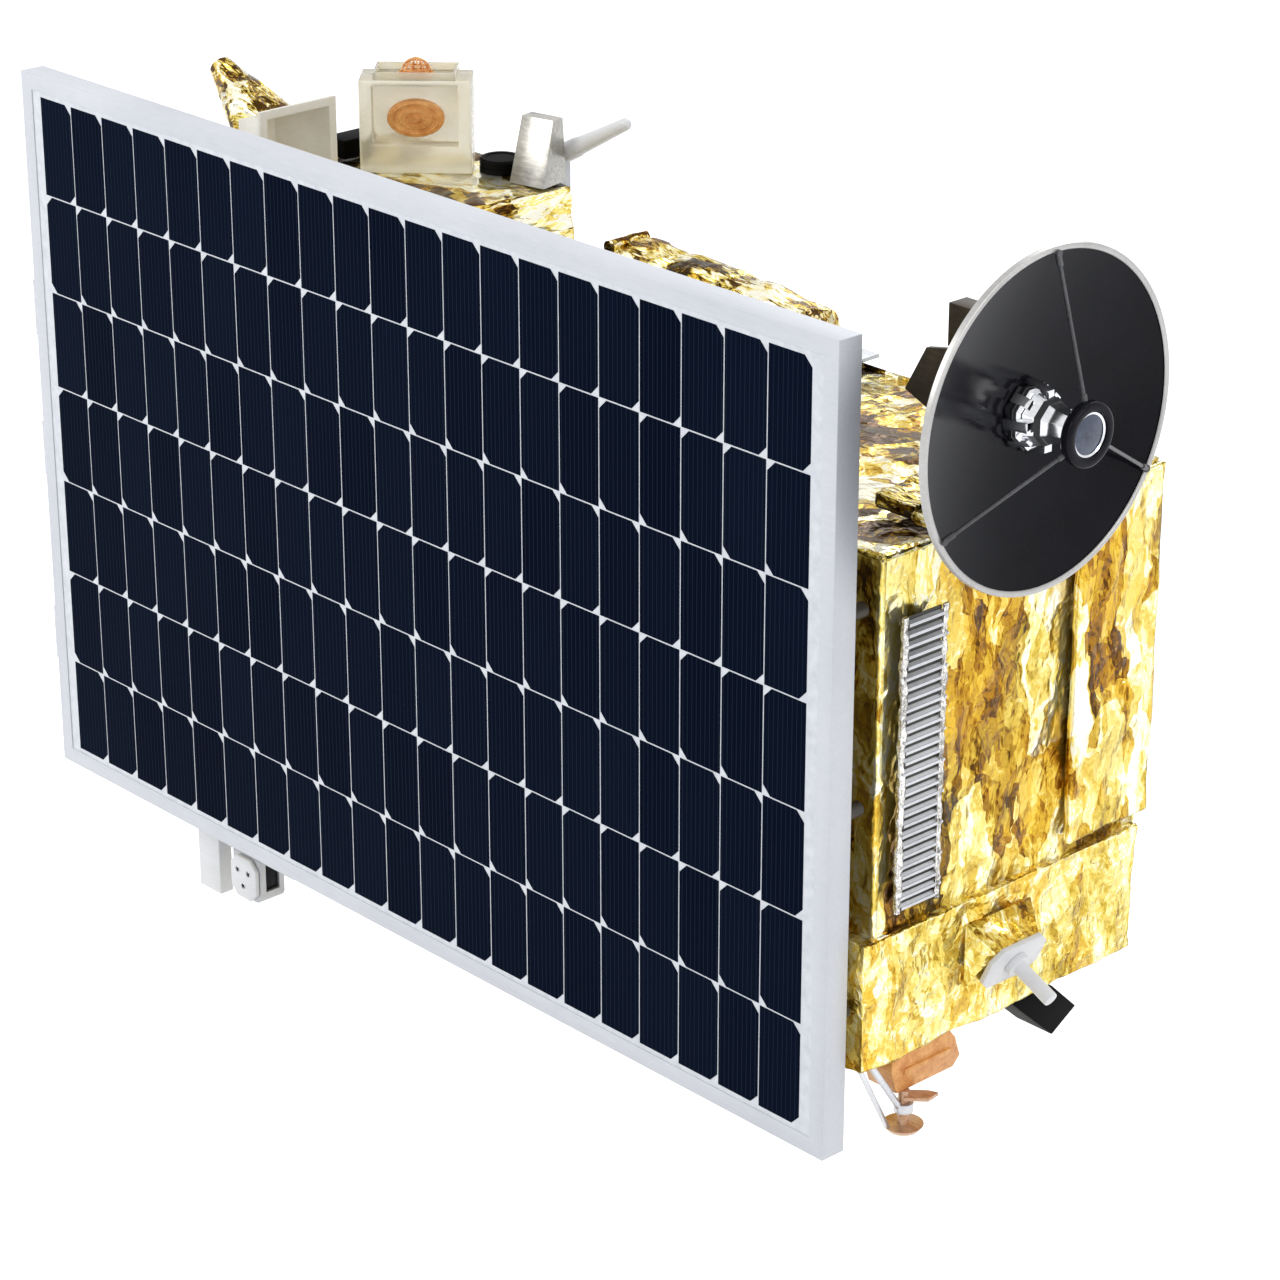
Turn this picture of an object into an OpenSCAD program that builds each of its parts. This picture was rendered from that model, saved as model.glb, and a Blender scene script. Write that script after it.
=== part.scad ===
// Small Earth-observation satellite with one framed solar panel and a steerable dish.
// Millimetres, +Z up. The origin is the centre of the launch ring's lower face.
// The solar panel lies against the front (-Y), the dish looks along +X.

/* [Bus] */
// Length of the bus along X
bus_len = 1832; // [1500:1:2200]
// Depth of the lower module along Y
base_depth = 564; // [480:1:700]
// Height of the lower module
base_h = 192; // [150:1:240]
// Depth of the main body along Y
main_depth = 558; // [480:1:690]
// Height of the main body
main_h = 573; // [450:1:700]
// How far the main body's front stands back from the lower module's front
main_setback = 17; // [5:1:40]
// Stand-out of the raised blanket on the right side
blanket_t = 6; // [3:1:12]
// Width of the raised blanket along Y
blanket_w = 170; // [100:1:220]

/* [Launch ring] */
// Bolt circle diameter of the launch ring
ring_pcd = 381; // [300:1:500]
// Number of bolt holes in the launch ring
ring_bolts = 24; // [12:1:36]
// Radius of each bolt hole
ring_hole_r = 3.3; // [2.5:0.1:5]
// Height of the launch ring
ring_h = 50; // [30:1:50]
// Wall of the ring's barrel
ring_wall = 6; // [4:1:10]
// Thickness of the ring's two flanges
ring_flange_t = 8; // [5:1:12]

/* [Solar panel] */
// Cells along the panel's length
cell_cols = 21; // [12:1:25]
// Cells up the panel's height
cell_rows = 7; // [5:1:8]
// Width of one half cell
cell_w = 78.4; // [70:0.1:84]
// Height of one half cell
cell_h = 156.75; // [140:0.05:160]
// Gap between neighbouring cells
cell_gap = 2.4; // [1.5:0.1:4]
// Cut corner of a cell
cell_cut = 14; // [6:1:20]
// Stand-out of the cells from the glass
cell_t = 0.5; // [0.3:0.1:1]
// Border between the cells and the panel's ends
border_x = 48; // [36:1:70]
// Border between the cells and the panel's top and bottom
border_z = 34; // [32:1:60]
// Thickness of the panel frame
panel_t = 42; // [34:1:60]
// Gap between the panel's back and the lower module
panel_gap = 9; // [6:0.5:20]
// How far the panel hangs below the lower module
panel_drop = 115; // [60:1:160]
// Wall of the frame's rails
rail_wall = 3; // [2:0.5:5]
// Width of the lips that the rails turn over the glass and at the back
lip_w = 26; // [15:1:30]
// Thickness of the glass laminate
glass_t = 6; // [4:0.5:8]
// Depth of the glass below the frame's face
glass_inset = 2; // [1.5:0.5:4]

/* [Hinges] */
// Radius of the hinge pins
pin_r = 5; // [4:0.5:7]
// Running clearance around pins and shafts
run_gap = 0.05; // [0.02:0.01:0.1]
// Radius of the hinge knuckles
knuckle_r = 10; // [9:0.5:13]
// Height of one hinge
hinge_h = 90; // [70:1:120]
// Distance from the bus side to the hinge line
hinge_out = 14; // [11:0.5:20]

/* [Dish] */
// Radius of the dish over its rim
dish_r = 234; // [180:1:280]
// Depth of the reflector
dish_depth = 45; // [30:1:60]
// Thickness of the reflector shell
shell_t = 3; // [2:0.5:5]
// Depth of the rim band
rim_depth = 10; // [8:1:26]
// Height of the dish's centre above the main body
dish_rise = 170; // [160:1:230]
// Distance of the dish's centre in front of the bus middle line
dish_y = -89; // [-140:1:-60]
// Height of the tilt axis above the dish's centre
tilt_up = 72; // [60:1:90]
// Distance from the tilt axis to the plane of the rim
dish_reach = 106; // [100:1:130]
// Distance of the turning axis beyond the bus side
dish_out = 14; // [10:1:30]
// Distance of the small mirror in front of the rim
sub_reach = 50; // [40:1:90]
// Outer radius of the small mirror's ring
sub_r = 44; // [36:1:60]

/* [Instruments] */
// Length of the payload box along X
tier_len = 420; // [380:1:460]
// Depth of the payload box along Y
tier_depth = 430; // [420:1:470]
// Height of the payload box
tier_h = 105; // [70:1:140]
// Thickness of the deck plate below the payload box
deck_t = 25; // [15:1:40]
// Length of the square horn's mouth
horn_w = 132; // [110:1:150]
// Height of the square horn's mouth
horn_h = 122; // [100:1:150]
// Width of the clear antenna case
case_w = 176; // [130:1:190]
// Depth of the clear antenna case
case_d = 72; // [60:1:100]
// Height of the clear antenna case
case_h = 150; // [120:1:170]
// Number of slats in the side louvre
slats = 28; // [12:1:32]
// Height of the louvre
louvre_h = 428; // [300:1:460]
// Width of the louvre
louvre_w = 84; // [60:1:100]
// Length of the cone antenna
cone_len = 150; // [110:1:180]
// Length of the nadir instruments' white post
post_h = 273; // [220:1:300]

/* [Hidden] */
$fn = 64;

eps = 0.01;
seat = 0.3;                                   // gap where a moving piece rests on a seat

// The bus
side_x = bus_len / 2;
base_y = -base_depth / 2;                     // front face of the lower module
main_y = base_y + main_setback;               // front face of the main body
main_back = main_y + main_depth;
base_z = ring_h;
main_z = base_z + base_h;
top_z = main_z + main_h;

// The solar panel, stowed against the front
pitch_x = cell_w + cell_gap;
pitch_z = cell_h + cell_gap;
panel_w = cell_cols * pitch_x - cell_gap + 2 * border_x;
panel_h = cell_rows * pitch_z - cell_gap + 2 * border_z;
panel_back = base_y - panel_gap;
panel_y = panel_back - panel_t;               // front face of the frame
panel_z = base_z - panel_drop;
glass_y = panel_y + glass_inset;
glass_back = glass_y + glass_t;
glass_play = 0.5;                             // the glass stands this far off the rails
rail_w = 50;                                  // width of a cross rail
rail_places = [-1, 1] * panel_w / 6;

// The panel's hinges and rests
hinge_x = -side_x - hinge_out;
hinge_y = panel_back - 9;
hinge_z = [base_z + base_h / 2, main_z + main_h * 0.4, main_z + main_h * 0.82];
leaf_t = 5;
knuckle_h = 30;
knuckle_gap = 1;
pad_r = 11;
pad_x = panel_w / 2 - lip_w / 2;

// The dish, facing +X, and its two axes, which cross above its centre
axis_x = side_x + dish_out;
axis_z = top_z + dish_rise;
tilt_z = axis_z + tilt_up;
rim_x = axis_x + dish_reach;
vertex_x = rim_x - dish_depth;
lip_t = 2.5;
rim_lip = 9;                                  // width of the rim's front lip
rim_wall = 4;
bowl_r = dish_r - rim_wall - seat;
stage_r = 30;
stage_z = top_z + 57;                         // top of the fixed part of the turning stage
yoke_z = stage_z + 1;
yoke_floor = 26;                              // height of the yoke's turning drum and floor
arm_y = 54;                                   // inner face of the yoke's arms from the middle
arm_t = 8;
shaft_r = 12;
trunnion_r = 8;
sub_t = 20;                                   // thickness of the small mirror's ring
lens_r = 30;
lens_in = 8;                                  // depth of the ring's recess
lens_t = 4;
neck_r = 22;                                  // hole in the reflector for the feed's neck
feed_base = 2.3;                              // the feed's skirt starts in front of the bowl

// The payload box on its deck plate, near the left end
tier_x = -699;                                // left face of the payload box
tier_back = main_back - 16;
tier_front = tier_back - tier_depth;
deck_top = top_z + deck_t;
tier_z = deck_top + tier_h;
tier_right = tier_x + tier_len;
deck_rim = 30;                                // the deck plate stands out round the box

// The foil-covered hump on its rail
rail_t = 6;
hump_x0 = -112;
hump_x1 = 300;
hump_r = 60;                                  // half the hump's depth
hump_y = main_back - 66;
hump_h0 = 90;
hump_h1 = 74;

// The square horn, open along +X
horn_x = tier_x + 155;
horn_y = tier_front + 91;
horn_depth = 105;
horn_wall = 5;
throat = [60, 50];

// The cone antenna, on the payload box's left end
cone_tilt = 35;                               // its axis above the horizontal
cone_r0 = 18;
cone_r1 = 58;
cone_y = horn_y + 74;
cone_z = tier_z + 41;
cone_x = tier_x - 21;
cone_stub = 44;

// The clear antenna case, turned to face the front right corner
case_x = tier_x + 186;
case_y = tier_back - 128;
case_turn = 45;
case_wall = 10;
case_floor = 45;

// The silver hood and the rod antenna
hood_at = [tier_right - 45, tier_back - 41];
hood_base = [66, 60];
hood_top = [60, 25];
hood_h = 102;
hood_lean = 13;
hood_turn = 12;
rod_at = [tier_right - 39, tier_back + 13, tier_z + 38];
rod_tilt = 28;
rod_len = 166;

// Right side: louvre and probe
louvre_y = main_y + 36;
louvre_z = top_z - 100 - louvre_h;
louvre_t = 8;
rail_bar = 9;
probe_y = -16;
probe_z = base_z + 100;
probe_x = side_x + 35;                        // centre of the flange
probe_tilt = 25;                              // the probe points this far below the horizontal
flange_t = 8;

// Under the bus, right end: nadir sensor and thruster
thruster_x = side_x - 22;
thruster_y = base_y + 110;
fork_x0 = side_x - 75;
fork_x1 = side_x - 15;
cup_z = base_z - 126;
cup_r = 29;
cup_t = 8;
stem_r = 8;
fin_z = base_z - 77;
rib_out = 5;                                  // the thruster bracket's pressed rib stands out

// Under the bus, left end: nadir camera group
post_x = -621;
post_w = 56;
post_d = 26;
cam_y = base_y + 19;
cam_d = 49;
cam_x = post_x + 95;
cam_w = 71;
cam_z = base_z - 252;
cam_h = 78;
cap_t = 8;
arm_plate = 10;

// A straight round bar between two points
module bar(a, b, r) {
    v = b - a;
    translate(a) rotate([0, acos(v.z / norm(v)), atan2(v.y, v.x)]) cylinder(h = norm(v), r = r);
}

// A box given by its lowest and highest corners
module block(low, high) {
    translate(low) cube(high - low);
}

// A round bar along X
module x_bar(r, x0, x1) {
    translate([x0, 0, 0]) rotate([0, 90, 0]) cylinder(h = x1 - x0, r = r);
}

// An outline in Y and Z, extruded along X
module yz_plate(points, x0, x1) {
    translate([x0, 0, 0]) rotate([90, 0, 90]) linear_extrude(x1 - x0) polygon(points);
}

// An outline in X and Z, extruded along Y
module xz_plate(points, y0, y1) {
    translate([0, y1, 0]) rotate([90, 0, 0]) linear_extrude(y1 - y0) polygon(points);
}

// A profile of radius and X, turned about the dish's own axis
module dish_turned() {
    translate([0, dish_y, axis_z]) rotate([0, 90, 0]) rotate_extrude($fn = 96) children();
}

module adapter_ring() {
    barrel_r = ring_pcd / 2 - 14;
    flange_r = ring_pcd / 2 + 11;
    color("silver") difference() {
        union() {
            cylinder(h = ring_h, r = barrel_r);
            for (z = [0, ring_h - ring_flange_t]) translate([0, 0, z])
                cylinder(h = ring_flange_t, r = flange_r);
        }
        translate([0, 0, -1]) cylinder(h = ring_h + 2, r = barrel_r - ring_wall);
        for (i = [0 : ring_bolts - 1]) rotate(i * 360 / ring_bolts)
            translate([ring_pcd / 2, 0, -1]) cylinder(h = ring_flange_t + 2, r = ring_hole_r);
    }
}

module base_module() {
    color("gold") block([-side_x, base_y, base_z], [side_x, base_y + base_depth, main_z]);
}

module main_body() {
    color("goldenrod") block([-side_x, main_y, main_z], [side_x, main_back, top_z]);
}

module side_blanket() {
    color("gold") block([side_x, main_back - blanket_w - 4, main_z + 33],
        [side_x + blanket_t, main_back - 4, top_z - 8]);
}

module deck_plate() {
    color("gray") block([tier_x - deck_rim, tier_front - deck_rim, top_z],
        [tier_right + deck_rim, main_back, deck_top]);
}

module payload_box() {
    color("gold") block([tier_x, tier_front, deck_top], [tier_right, tier_back, tier_z]);
}

module rear_rail() {
    color("gray") block([tier_right + deck_rim + 5, hump_y - hump_r - 7, top_z],
        [hump_x1 + 69, main_back, top_z + rail_t]);
}

module hump_rib(x, h) {
    translate([x, hump_y, top_z + rail_t]) rotate([90, 0, 90]) linear_extrude(1)
        polygon([for (a = [0 : 10 : 180]) [hump_r * cos(a), h * pow(sin(a), 0.7)]]);
}

module deck_hump() {
    middle = (hump_x0 + hump_x1) / 2;
    color("gold") hull() {
        hump_rib(hump_x0, hump_h0 - 12);
        hump_rib(hump_x0 + 30, hump_h0);
        hump_rib(middle, hump_h0);
        hump_rib(hump_x1 - 1, hump_h1);
    }
}

module on_cone_axis() {
    translate([cone_x, cone_y, cone_z]) rotate([0, cone_tilt - 90, 0]) children();
}

module cone_antenna() {
    color("gold") on_cone_axis() cylinder(h = cone_len, r1 = cone_r1, r2 = cone_r0);
}

module cone_bracket() {
    color("dimgray") difference() {
        union() {
            on_cone_axis() translate([0, 0, -cone_stub]) cylinder(h = cone_stub, r = 20);
            block([tier_x, cone_y - 24, tier_z], [tier_x + 32, cone_y + 24, tier_z + 34]);
        }
        block([tier_x - 80, cone_y - 60, tier_z - 90], [tier_x + 80, cone_y + 60, tier_z]);
    }
}

// The horn's inner or outer surface: a mouth and a throat joined by straight walls
module horn_shell(grow, x0, x1) {
    hull() {
        translate([x0, horn_y, tier_z + horn_wall + horn_h / 2])
            cube([eps, throat.x + 2 * grow, throat.y + 2 * grow], center = true);
        translate([x1, horn_y, tier_z + horn_wall + horn_h / 2])
            cube([eps, horn_w - 2 * horn_wall + 2 * grow, horn_h - 2 * horn_wall + 2 * grow],
                center = true);
    }
}

module square_horn() {
    lip = 8;
    color("white") difference() {
        union() {
            horn_shell(horn_wall, horn_x - horn_depth, horn_x);
            block([horn_x - 6, horn_y - horn_w / 2 - lip, tier_z],
                [horn_x, horn_y + horn_w / 2 + lip, tier_z + horn_h + horn_wall + lip]);
            block([horn_x - horn_depth - 3, horn_y - 35, tier_z],
                [horn_x - horn_depth + 5, horn_y + 35, tier_z + horn_h / 2 + 35]);
        }
        horn_shell(0, horn_x - horn_depth + 5, horn_x + 1);
    }
}

module receiver_box() {
    x0 = tier_x + 35;
    y0 = tier_back - 187;
    color("black") block([x0, y0, tier_z], [x0 + 40, y0 + 60, tier_z + 27]);
    color("gray") block([x0 - 3, y0 - 3, tier_z + 27], [x0 + 43, y0 + 63, tier_z + 32]);
}

module drum_unit() {
    color("black") translate([tier_x + 284, tier_back - 39, tier_z]) {
        cylinder(h = 16, r = 34);
        translate([0, 0, 16]) cylinder(h = 5, r = 30);
    }
}

// Everything of the clear case is drawn square and turned to its corner
module in_case() {
    translate([case_x, case_y, tier_z]) rotate(case_turn) children();
}

module clear_case() {
    color("ivory") in_case() difference() {
        block([-case_w / 2, -case_d / 2, 0], [case_w / 2, case_d / 2, case_h]);
        block([-case_w / 2 + 2 * case_wall, -case_d / 2 - 1, case_floor],
            [case_w / 2 - 2 * case_wall, -case_d / 2 + case_d / 3, case_h - case_wall]);
    }
}

module patch_antenna() {
    patch = [91, 60];
    depth = case_d / 3 - 8;
    color("darkorange") in_case() translate([0, -case_d / 2 + case_d / 3, case_h * 0.57])
        rotate([90, 0, 0]) {
            linear_extrude(depth)
                polygon([for (a = [0 : 10 : 350]) [patch.x / 2 * cos(a), patch.y / 2 * sin(a)]]);
            translate([0, 0, depth]) cylinder(h = 4, r = 12);
        }
}

module wire_dome() {
    wire_r = 2;
    dome_r = 28;
    arch_r = 23;
    color("darkorange") in_case() translate([0, 0, case_h + wire_r]) {
        rotate_extrude() translate([dome_r, 0]) circle(wire_r, $fn = 16);
        for (turn = [0, 60, 120]) rotate(turn) rotate([90, 0, 0])
            rotate_extrude(angle = 180) translate([arch_r, 0]) circle(wire_r, $fn = 16);
        translate([0, 0, -wire_r]) cylinder(h = 3, r = dome_r);
        translate([0, 0, arch_r - wire_r - 1]) cylinder(h = 2 * wire_r + 2, r = 5);
    }
}

module clear_tray() {
    tray = [130, 70];
    wall = 4;
    color("ivory") in_case() translate([0, 0, case_h]) linear_extrude(12) difference() {
        square(tray, center = true);
        square(tray - [2 * wall, 2 * wall], center = true);
    }
}

module sensor_hood() {
    color("silver") translate([hood_at.x, hood_at.y, tier_z]) rotate(hood_turn) hull() {
        translate([-hood_base.x / 2, -hood_base.y / 2, 0]) cube([hood_base.x, hood_base.y, eps]);
        translate([-hood_top.x / 2, -hood_top.y / 2 + hood_lean, hood_h])
            cube([hood_top.x, hood_top.y, eps]);
    }
}

module on_rod_axis() {
    translate(rod_at) rotate([0, 90 - rod_tilt, 0]) children();
}

module rod_antenna() {
    color("white") on_rod_axis() {
        cylinder(h = rod_len - 10, r1 = 14, r2 = 10);
        translate([0, 0, rod_len - 10]) sphere(10, $fn = 48);
    }
}

module rod_bracket() {
    color("gray") difference() {
        union() {
            block([rod_at.x - 30, tier_back, deck_top + 15],
                [rod_at.x - 4, tier_back + 26, rod_at.z + 6]);
            block([rod_at.x - 36, tier_back, deck_top + 5],
                [rod_at.x + 10, tier_back + 5, deck_top + 60]);
        }
        on_rod_axis() cylinder(h = rod_len, r = 30);
    }
}

module louvre_frame() {
    color("silver") {
        for (y = [louvre_y, louvre_y + louvre_w - rail_bar])
            block([side_x, y, louvre_z], [side_x + louvre_t, y + rail_bar, louvre_z + louvre_h]);
        block([side_x, louvre_y + rail_bar, louvre_z],
            [side_x + 2, louvre_y + louvre_w - rail_bar, louvre_z + louvre_h]);
    }
}

module louvre_slats() {
    step = louvre_h / slats;
    slat = step * 0.42;
    color("silver") for (i = [0 : slats - 1])
        block([side_x + 2, louvre_y + rail_bar, louvre_z + i * step + slat / 2],
            [side_x + louvre_t - 1, louvre_y + louvre_w - rail_bar,
                louvre_z + i * step + slat * 1.5]);
}

// The probe's own axis leans out and down; its flange lies across it
module on_probe_axis() {
    translate([probe_x, probe_y, probe_z]) rotate([0, 90 + probe_tilt, 0]) children();
}

module flange_bracket() {
    color("gold") difference() {
        hull() {
            block([side_x, probe_y - 66, probe_z - 28],
                [side_x + 1, probe_y + 66, probe_z + 66]);
            on_probe_axis() translate([-28, -44, -flange_t - 1]) cube([56, 88, 1]);
        }
    }
}

module side_flange() {
    flange = [76, 112];
    cut = 18;
    color("white") on_probe_axis() translate([0, 0, -flange_t]) linear_extrude(flange_t)
        polygon([for (s = [[1, 1], [-1, 1], [-1, -1], [1, -1]], k = [0, 1])
            let (first = s.x * s.y > 0 ? k == 0 : k == 1)
            [s.x * (flange.x / 2 - (first ? 0 : cut)), s.y * (flange.y / 2 - (first ? cut : 0))]]);
}

module side_probe() {
    color("white") on_probe_axis() {
        cylinder(h = 10, r = 19);
        cylinder(h = 76, r = 11);
    }
}

module nadir_sensor() {
    low = base_z - 81;                        // the tilted housing's lowest corner
    color("black") yz_plate([[30, base_z], [119, low], [168, low + 29], [114, base_z]],
        fork_x0, side_x - 7);
}

module thruster_bracket() {
    y0 = thruster_y - 28;
    reach = 139;
    low = base_z - 65;
    color("chocolate") {
        yz_plate([[y0, base_z], [y0 + reach - 26, base_z], [y0 + reach - 11, base_z - 18],
            [y0 + reach, base_z - 51], [y0 + reach - 14, low], [y0 + 11, low],
            [y0, base_z - 30]], fork_x0, fork_x1 - rib_out);
        block([fork_x1 - rib_out, y0 + 22, low + 26], [fork_x1, y0 + reach - 24, low + 36]);
    }
}

module thruster_stem() {
    low = base_z - 65;
    color("chocolate") translate([thruster_x, thruster_y, 0]) {
        translate([0, 0, cup_z + cup_t]) cylinder(h = low - cup_z - cup_t, r = stem_r);
        translate([0, 0, cup_z]) cylinder(h = cup_t, r1 = cup_r - 6, r2 = cup_r);
        translate([0, 0, fin_z]) rotate(45) linear_extrude(5)
            polygon([[0, -12], [34, -12], [48, 6], [34, 12], [0, 12]]);
    }
}

// A round strut and, above it, a tube whose collar holds the stem
module thruster_struts() {
    cup_top = cup_z + cup_t;
    collar_z = cup_top + 24;
    collar_r = stem_r + 6;
    color("silver") difference() {
        union() {
            bar([side_x - 18, base_y + 12, base_z + 10],
                [thruster_x - 8, thruster_y - 20, cup_top - 8], 4);
            bar([side_x - 22, base_y + 34, base_z + 10],
                [thruster_x, thruster_y - stem_r, collar_z + 3], 5);
            translate([thruster_x, thruster_y, collar_z - 4]) cylinder(h = 14, r = collar_r);
        }
        block([0, base_y - 40, base_z], [side_x + 40, 0, base_z + 40]);
        block([0, base_y - 40, cup_top - 40], [side_x + 40, 0, cup_top]);
        translate([thruster_x, thruster_y, cup_top - 1])
            cylinder(h = base_z - cup_top, r = stem_r + seat);
    }
}

module camera_post() {
    color("white") block([post_x, cam_y, base_z - post_h],
        [post_x + post_w, cam_y + post_d, base_z]);
}

module camera_arm() {
    top = cam_z + cam_h;
    far = cam_x + cam_w + 90;
    color("gray") {
        block([post_x + post_w, cam_y, top], [far, cam_y + cam_d, top + arm_plate]);
        block([far - arm_plate, cam_y, top + arm_plate], [far, cam_y + cam_d, base_z]);
    }
}

module camera_body() {
    round_r = 14;
    color("dimgray") difference() {
        translate([cam_x, cam_y + cam_d, cam_z]) rotate([90, 0, 0]) linear_extrude(cam_d) hull() {
            for (x = [round_r, cam_w - round_r]) translate([x, round_r]) circle(round_r);
            translate([0, cam_h - 1]) square([cam_w, 1]);
        }
        block([cam_x + cam_w - 12, cam_y + 12, cam_z + 20],
            [cam_x + cam_w + 1, cam_y + cam_d - 10, cam_z + cam_h - 10]);
    }
}

module camera_cap() {
    cut = 16;
    w = cam_w - 4;
    h = cam_h - 4;
    color("white") translate([cam_x + 2, 0, cam_z + 2]) xz_plate([[cut, 0], [w - cut, 0], [w, cut],
        [w, h - cut], [w - cut, h], [cut, h], [0, h - cut], [0, cut]], cam_y - cap_t, cam_y);
}

module camera_window() {
    color("black") block([cam_x + cam_w - 12, cam_y + 12, cam_z + 20],
        [cam_x + cam_w - 5, cam_y + cam_d - 10, cam_z + cam_h - 10]);
}

module hinge_brackets() {
    back = main_y + 90;
    color("silver") for (z = hinge_z) translate([0, 0, z - hinge_h / 2]) {
        difference() {
            union() {
                block([-side_x - leaf_t, hinge_y, 0], [-side_x, back, hinge_h]);
                for (low = [0, hinge_h - knuckle_h]) {
                    translate([hinge_x, hinge_y, low]) cylinder(h = knuckle_h, r = knuckle_r);
                    block([hinge_x, hinge_y - leaf_t / 2, low],
                        [-side_x, hinge_y + leaf_t / 2, low + knuckle_h]);
                }
            }
            block([hinge_x - 30, hinge_y - 30, knuckle_h],
                [-side_x + 1, base_y - 3, hinge_h - knuckle_h]);
        }
        translate([hinge_x, hinge_y, 0]) cylinder(h = hinge_h, r = pin_r);
    }
}

module hinge_leaves() {
    color("silver") for (z = hinge_z) translate([0, 0, z - hinge_h / 2]) difference() {
        union() {
            translate([hinge_x, hinge_y, knuckle_h + knuckle_gap])
                cylinder(h = hinge_h - 2 * (knuckle_h + knuckle_gap), r = knuckle_r);
            block([hinge_x, hinge_y - leaf_t / 2, knuckle_h + knuckle_gap],
                [-panel_w / 2, hinge_y + leaf_t / 2, hinge_h - knuckle_h - knuckle_gap]);
            block([-panel_w / 2 - leaf_t, panel_y + 6, 0], [-panel_w / 2, panel_back - 3, hinge_h]);
        }
        translate([hinge_x, hinge_y, -1]) cylinder(h = hinge_h + 2, r = pin_r + run_gap);
    }
}

// Rests that carry the stowed panel's frame and cross rails
module hold_downs() {
    color("silver") {
        for (x = concat([pad_x], rail_places)) rest(x, base_z + base_h * 0.5, base_y);
        for (x = concat([pad_x], rail_places), share = [0.35, 0.85])
            rest(x, main_z + main_h * share, main_y);
    }
}

module rest(x, z, face_y) {
    translate([x, face_y, z]) rotate([90, 0, 0])
        cylinder(h = face_y - panel_back - seat, r = pad_r);
}

module gimbal_base() {
    color("#3a2a1c") translate([axis_x, dish_y, 0]) difference() {
        union() {
            block([-140, -60, top_z], [-dish_out - 6, 60, top_z + 10]);
            block([-90, -26, top_z + 10], [0, 26, stage_z - 12]);
            translate([0, 0, top_z + 10]) cylinder(h = stage_z - top_z - 10, r = stage_r);
        }
        translate([0, 0, stage_z - 30]) cylinder(h = 31, r = shaft_r + run_gap);
    }
}

module gimbal_yoke() {
    floor_z = yoke_z + yoke_floor;
    color("#2e2118") translate([axis_x, dish_y, 0]) difference() {
        union() {
            translate([0, 0, yoke_z]) cylinder(h = yoke_floor, r = stage_r + 2);
            translate([0, 0, stage_z - 28]) cylinder(h = 40, r = shaft_r);
            block([-25, -arm_y - arm_t, floor_z - 12], [25, arm_y + arm_t, floor_z]);
            // near arm, with its slanted head
            xz_plate([[-25, floor_z - 12], [25, floor_z - 12], [25, tilt_z - 20],
                [18, tilt_z + 17], [-56, axis_z + 74], [-92, axis_z + 9], [-48, axis_z - 9],
                [-25, axis_z - 44]], -arm_y - arm_t, -arm_y);
            // far arm, which carries the drive's box
            xz_plate([[-25, floor_z - 12], [25, floor_z - 12], [25, tilt_z - 20],
                [18, tilt_z + 17], [-40, tilt_z + 17], [-25, axis_z - 44]],
                arm_y, arm_y + arm_t);
            block([-118, arm_y - 8, axis_z + 36], [-66, arm_y + arm_t + 18, axis_z + 96]);
            block([-92, arm_y, axis_z + 20], [-30, arm_y + arm_t, axis_z + 60]);
        }
        translate([0, 0, tilt_z]) rotate([90, 0, 0])
            cylinder(h = 3 * arm_y, r = trunnion_r + run_gap, center = true);
    }
}

module dish_hub() {
    reach = arm_y + arm_t;
    color("dimgray") {
        translate([axis_x, dish_y, tilt_z]) rotate([90, 0, 0]) {
            cylinder(h = 2 * reach, r = trunnion_r, center = true);
            cylinder(h = 2 * arm_y - 6, r = 18, center = true);
        }
        translate([0, dish_y, 0]) xz_plate([[axis_x, tilt_z - 18], [axis_x, tilt_z + 18],
            [vertex_x - 18, axis_z + 20], [vertex_x - 18, axis_z - 20]], -16, 16);
        translate([0, dish_y, axis_z]) x_bar(26, vertex_x - 22, vertex_x - shell_t);
    }
}

// Reflector depth behind the rim plane at radius r
function bowl(r) = dish_depth * (1 - pow(r / bowl_r, 2));

module reflector() {
    radii = [for (i = [0 : 16]) bowl_r * i / 16];
    front = [for (r = radii) [r, rim_x - lip_t - bowl(r) * (dish_depth - lip_t) / dish_depth]];
    back = [for (i = [16 : -1 : 0]) front[i] - [0, shell_t]];
    color("#101014") difference() {
        translate([0, dish_y, axis_z]) rotate([0, 90, 0])
            rotate_extrude($fn = 96) polygon(concat(front, back));
        translate([0, dish_y, axis_z]) x_bar(neck_r, vertex_x - 40, vertex_x + 1);
    }
}

module dish_rim() {
    color("silver") dish_turned() difference() {
        translate([dish_r - rim_lip, rim_x - rim_depth]) square([rim_lip, rim_depth]);
        translate([dish_r - rim_lip - 1, rim_x - rim_depth - 1])
            square([rim_lip - rim_wall + 1, rim_depth - lip_t + 1]);
    }
}

module dish_feed() {
    tip = rim_x + sub_reach - vertex_x;
    color("silver") translate([vertex_x, dish_y, axis_z]) rotate([0, 90, 0]) rotate(22.5) {
        translate([0, 0, feed_base]) cylinder(h = 26 - feed_base, r1 = 46, r2 = 44, $fn = 8);
        translate([0, 0, 26]) cylinder(h = 34, r1 = 40, r2 = 26, $fn = 8);
        translate([0, 0, 60]) cylinder(h = tip - 60, r1 = 26, r2 = 20, $fn = 8);
        translate([0, 0, -shell_t]) cylinder(h = shell_t + feed_base, r = neck_r - seat);
    }
}

module sub_ring() {
    color("black") translate([rim_x + sub_reach, dish_y, axis_z]) rotate([0, 90, 0]) difference() {
        cylinder(h = sub_t, r = sub_r);
        translate([0, 0, sub_t - lens_in]) cylinder(h = lens_in + 1, r = lens_r);
    }
}

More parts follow.
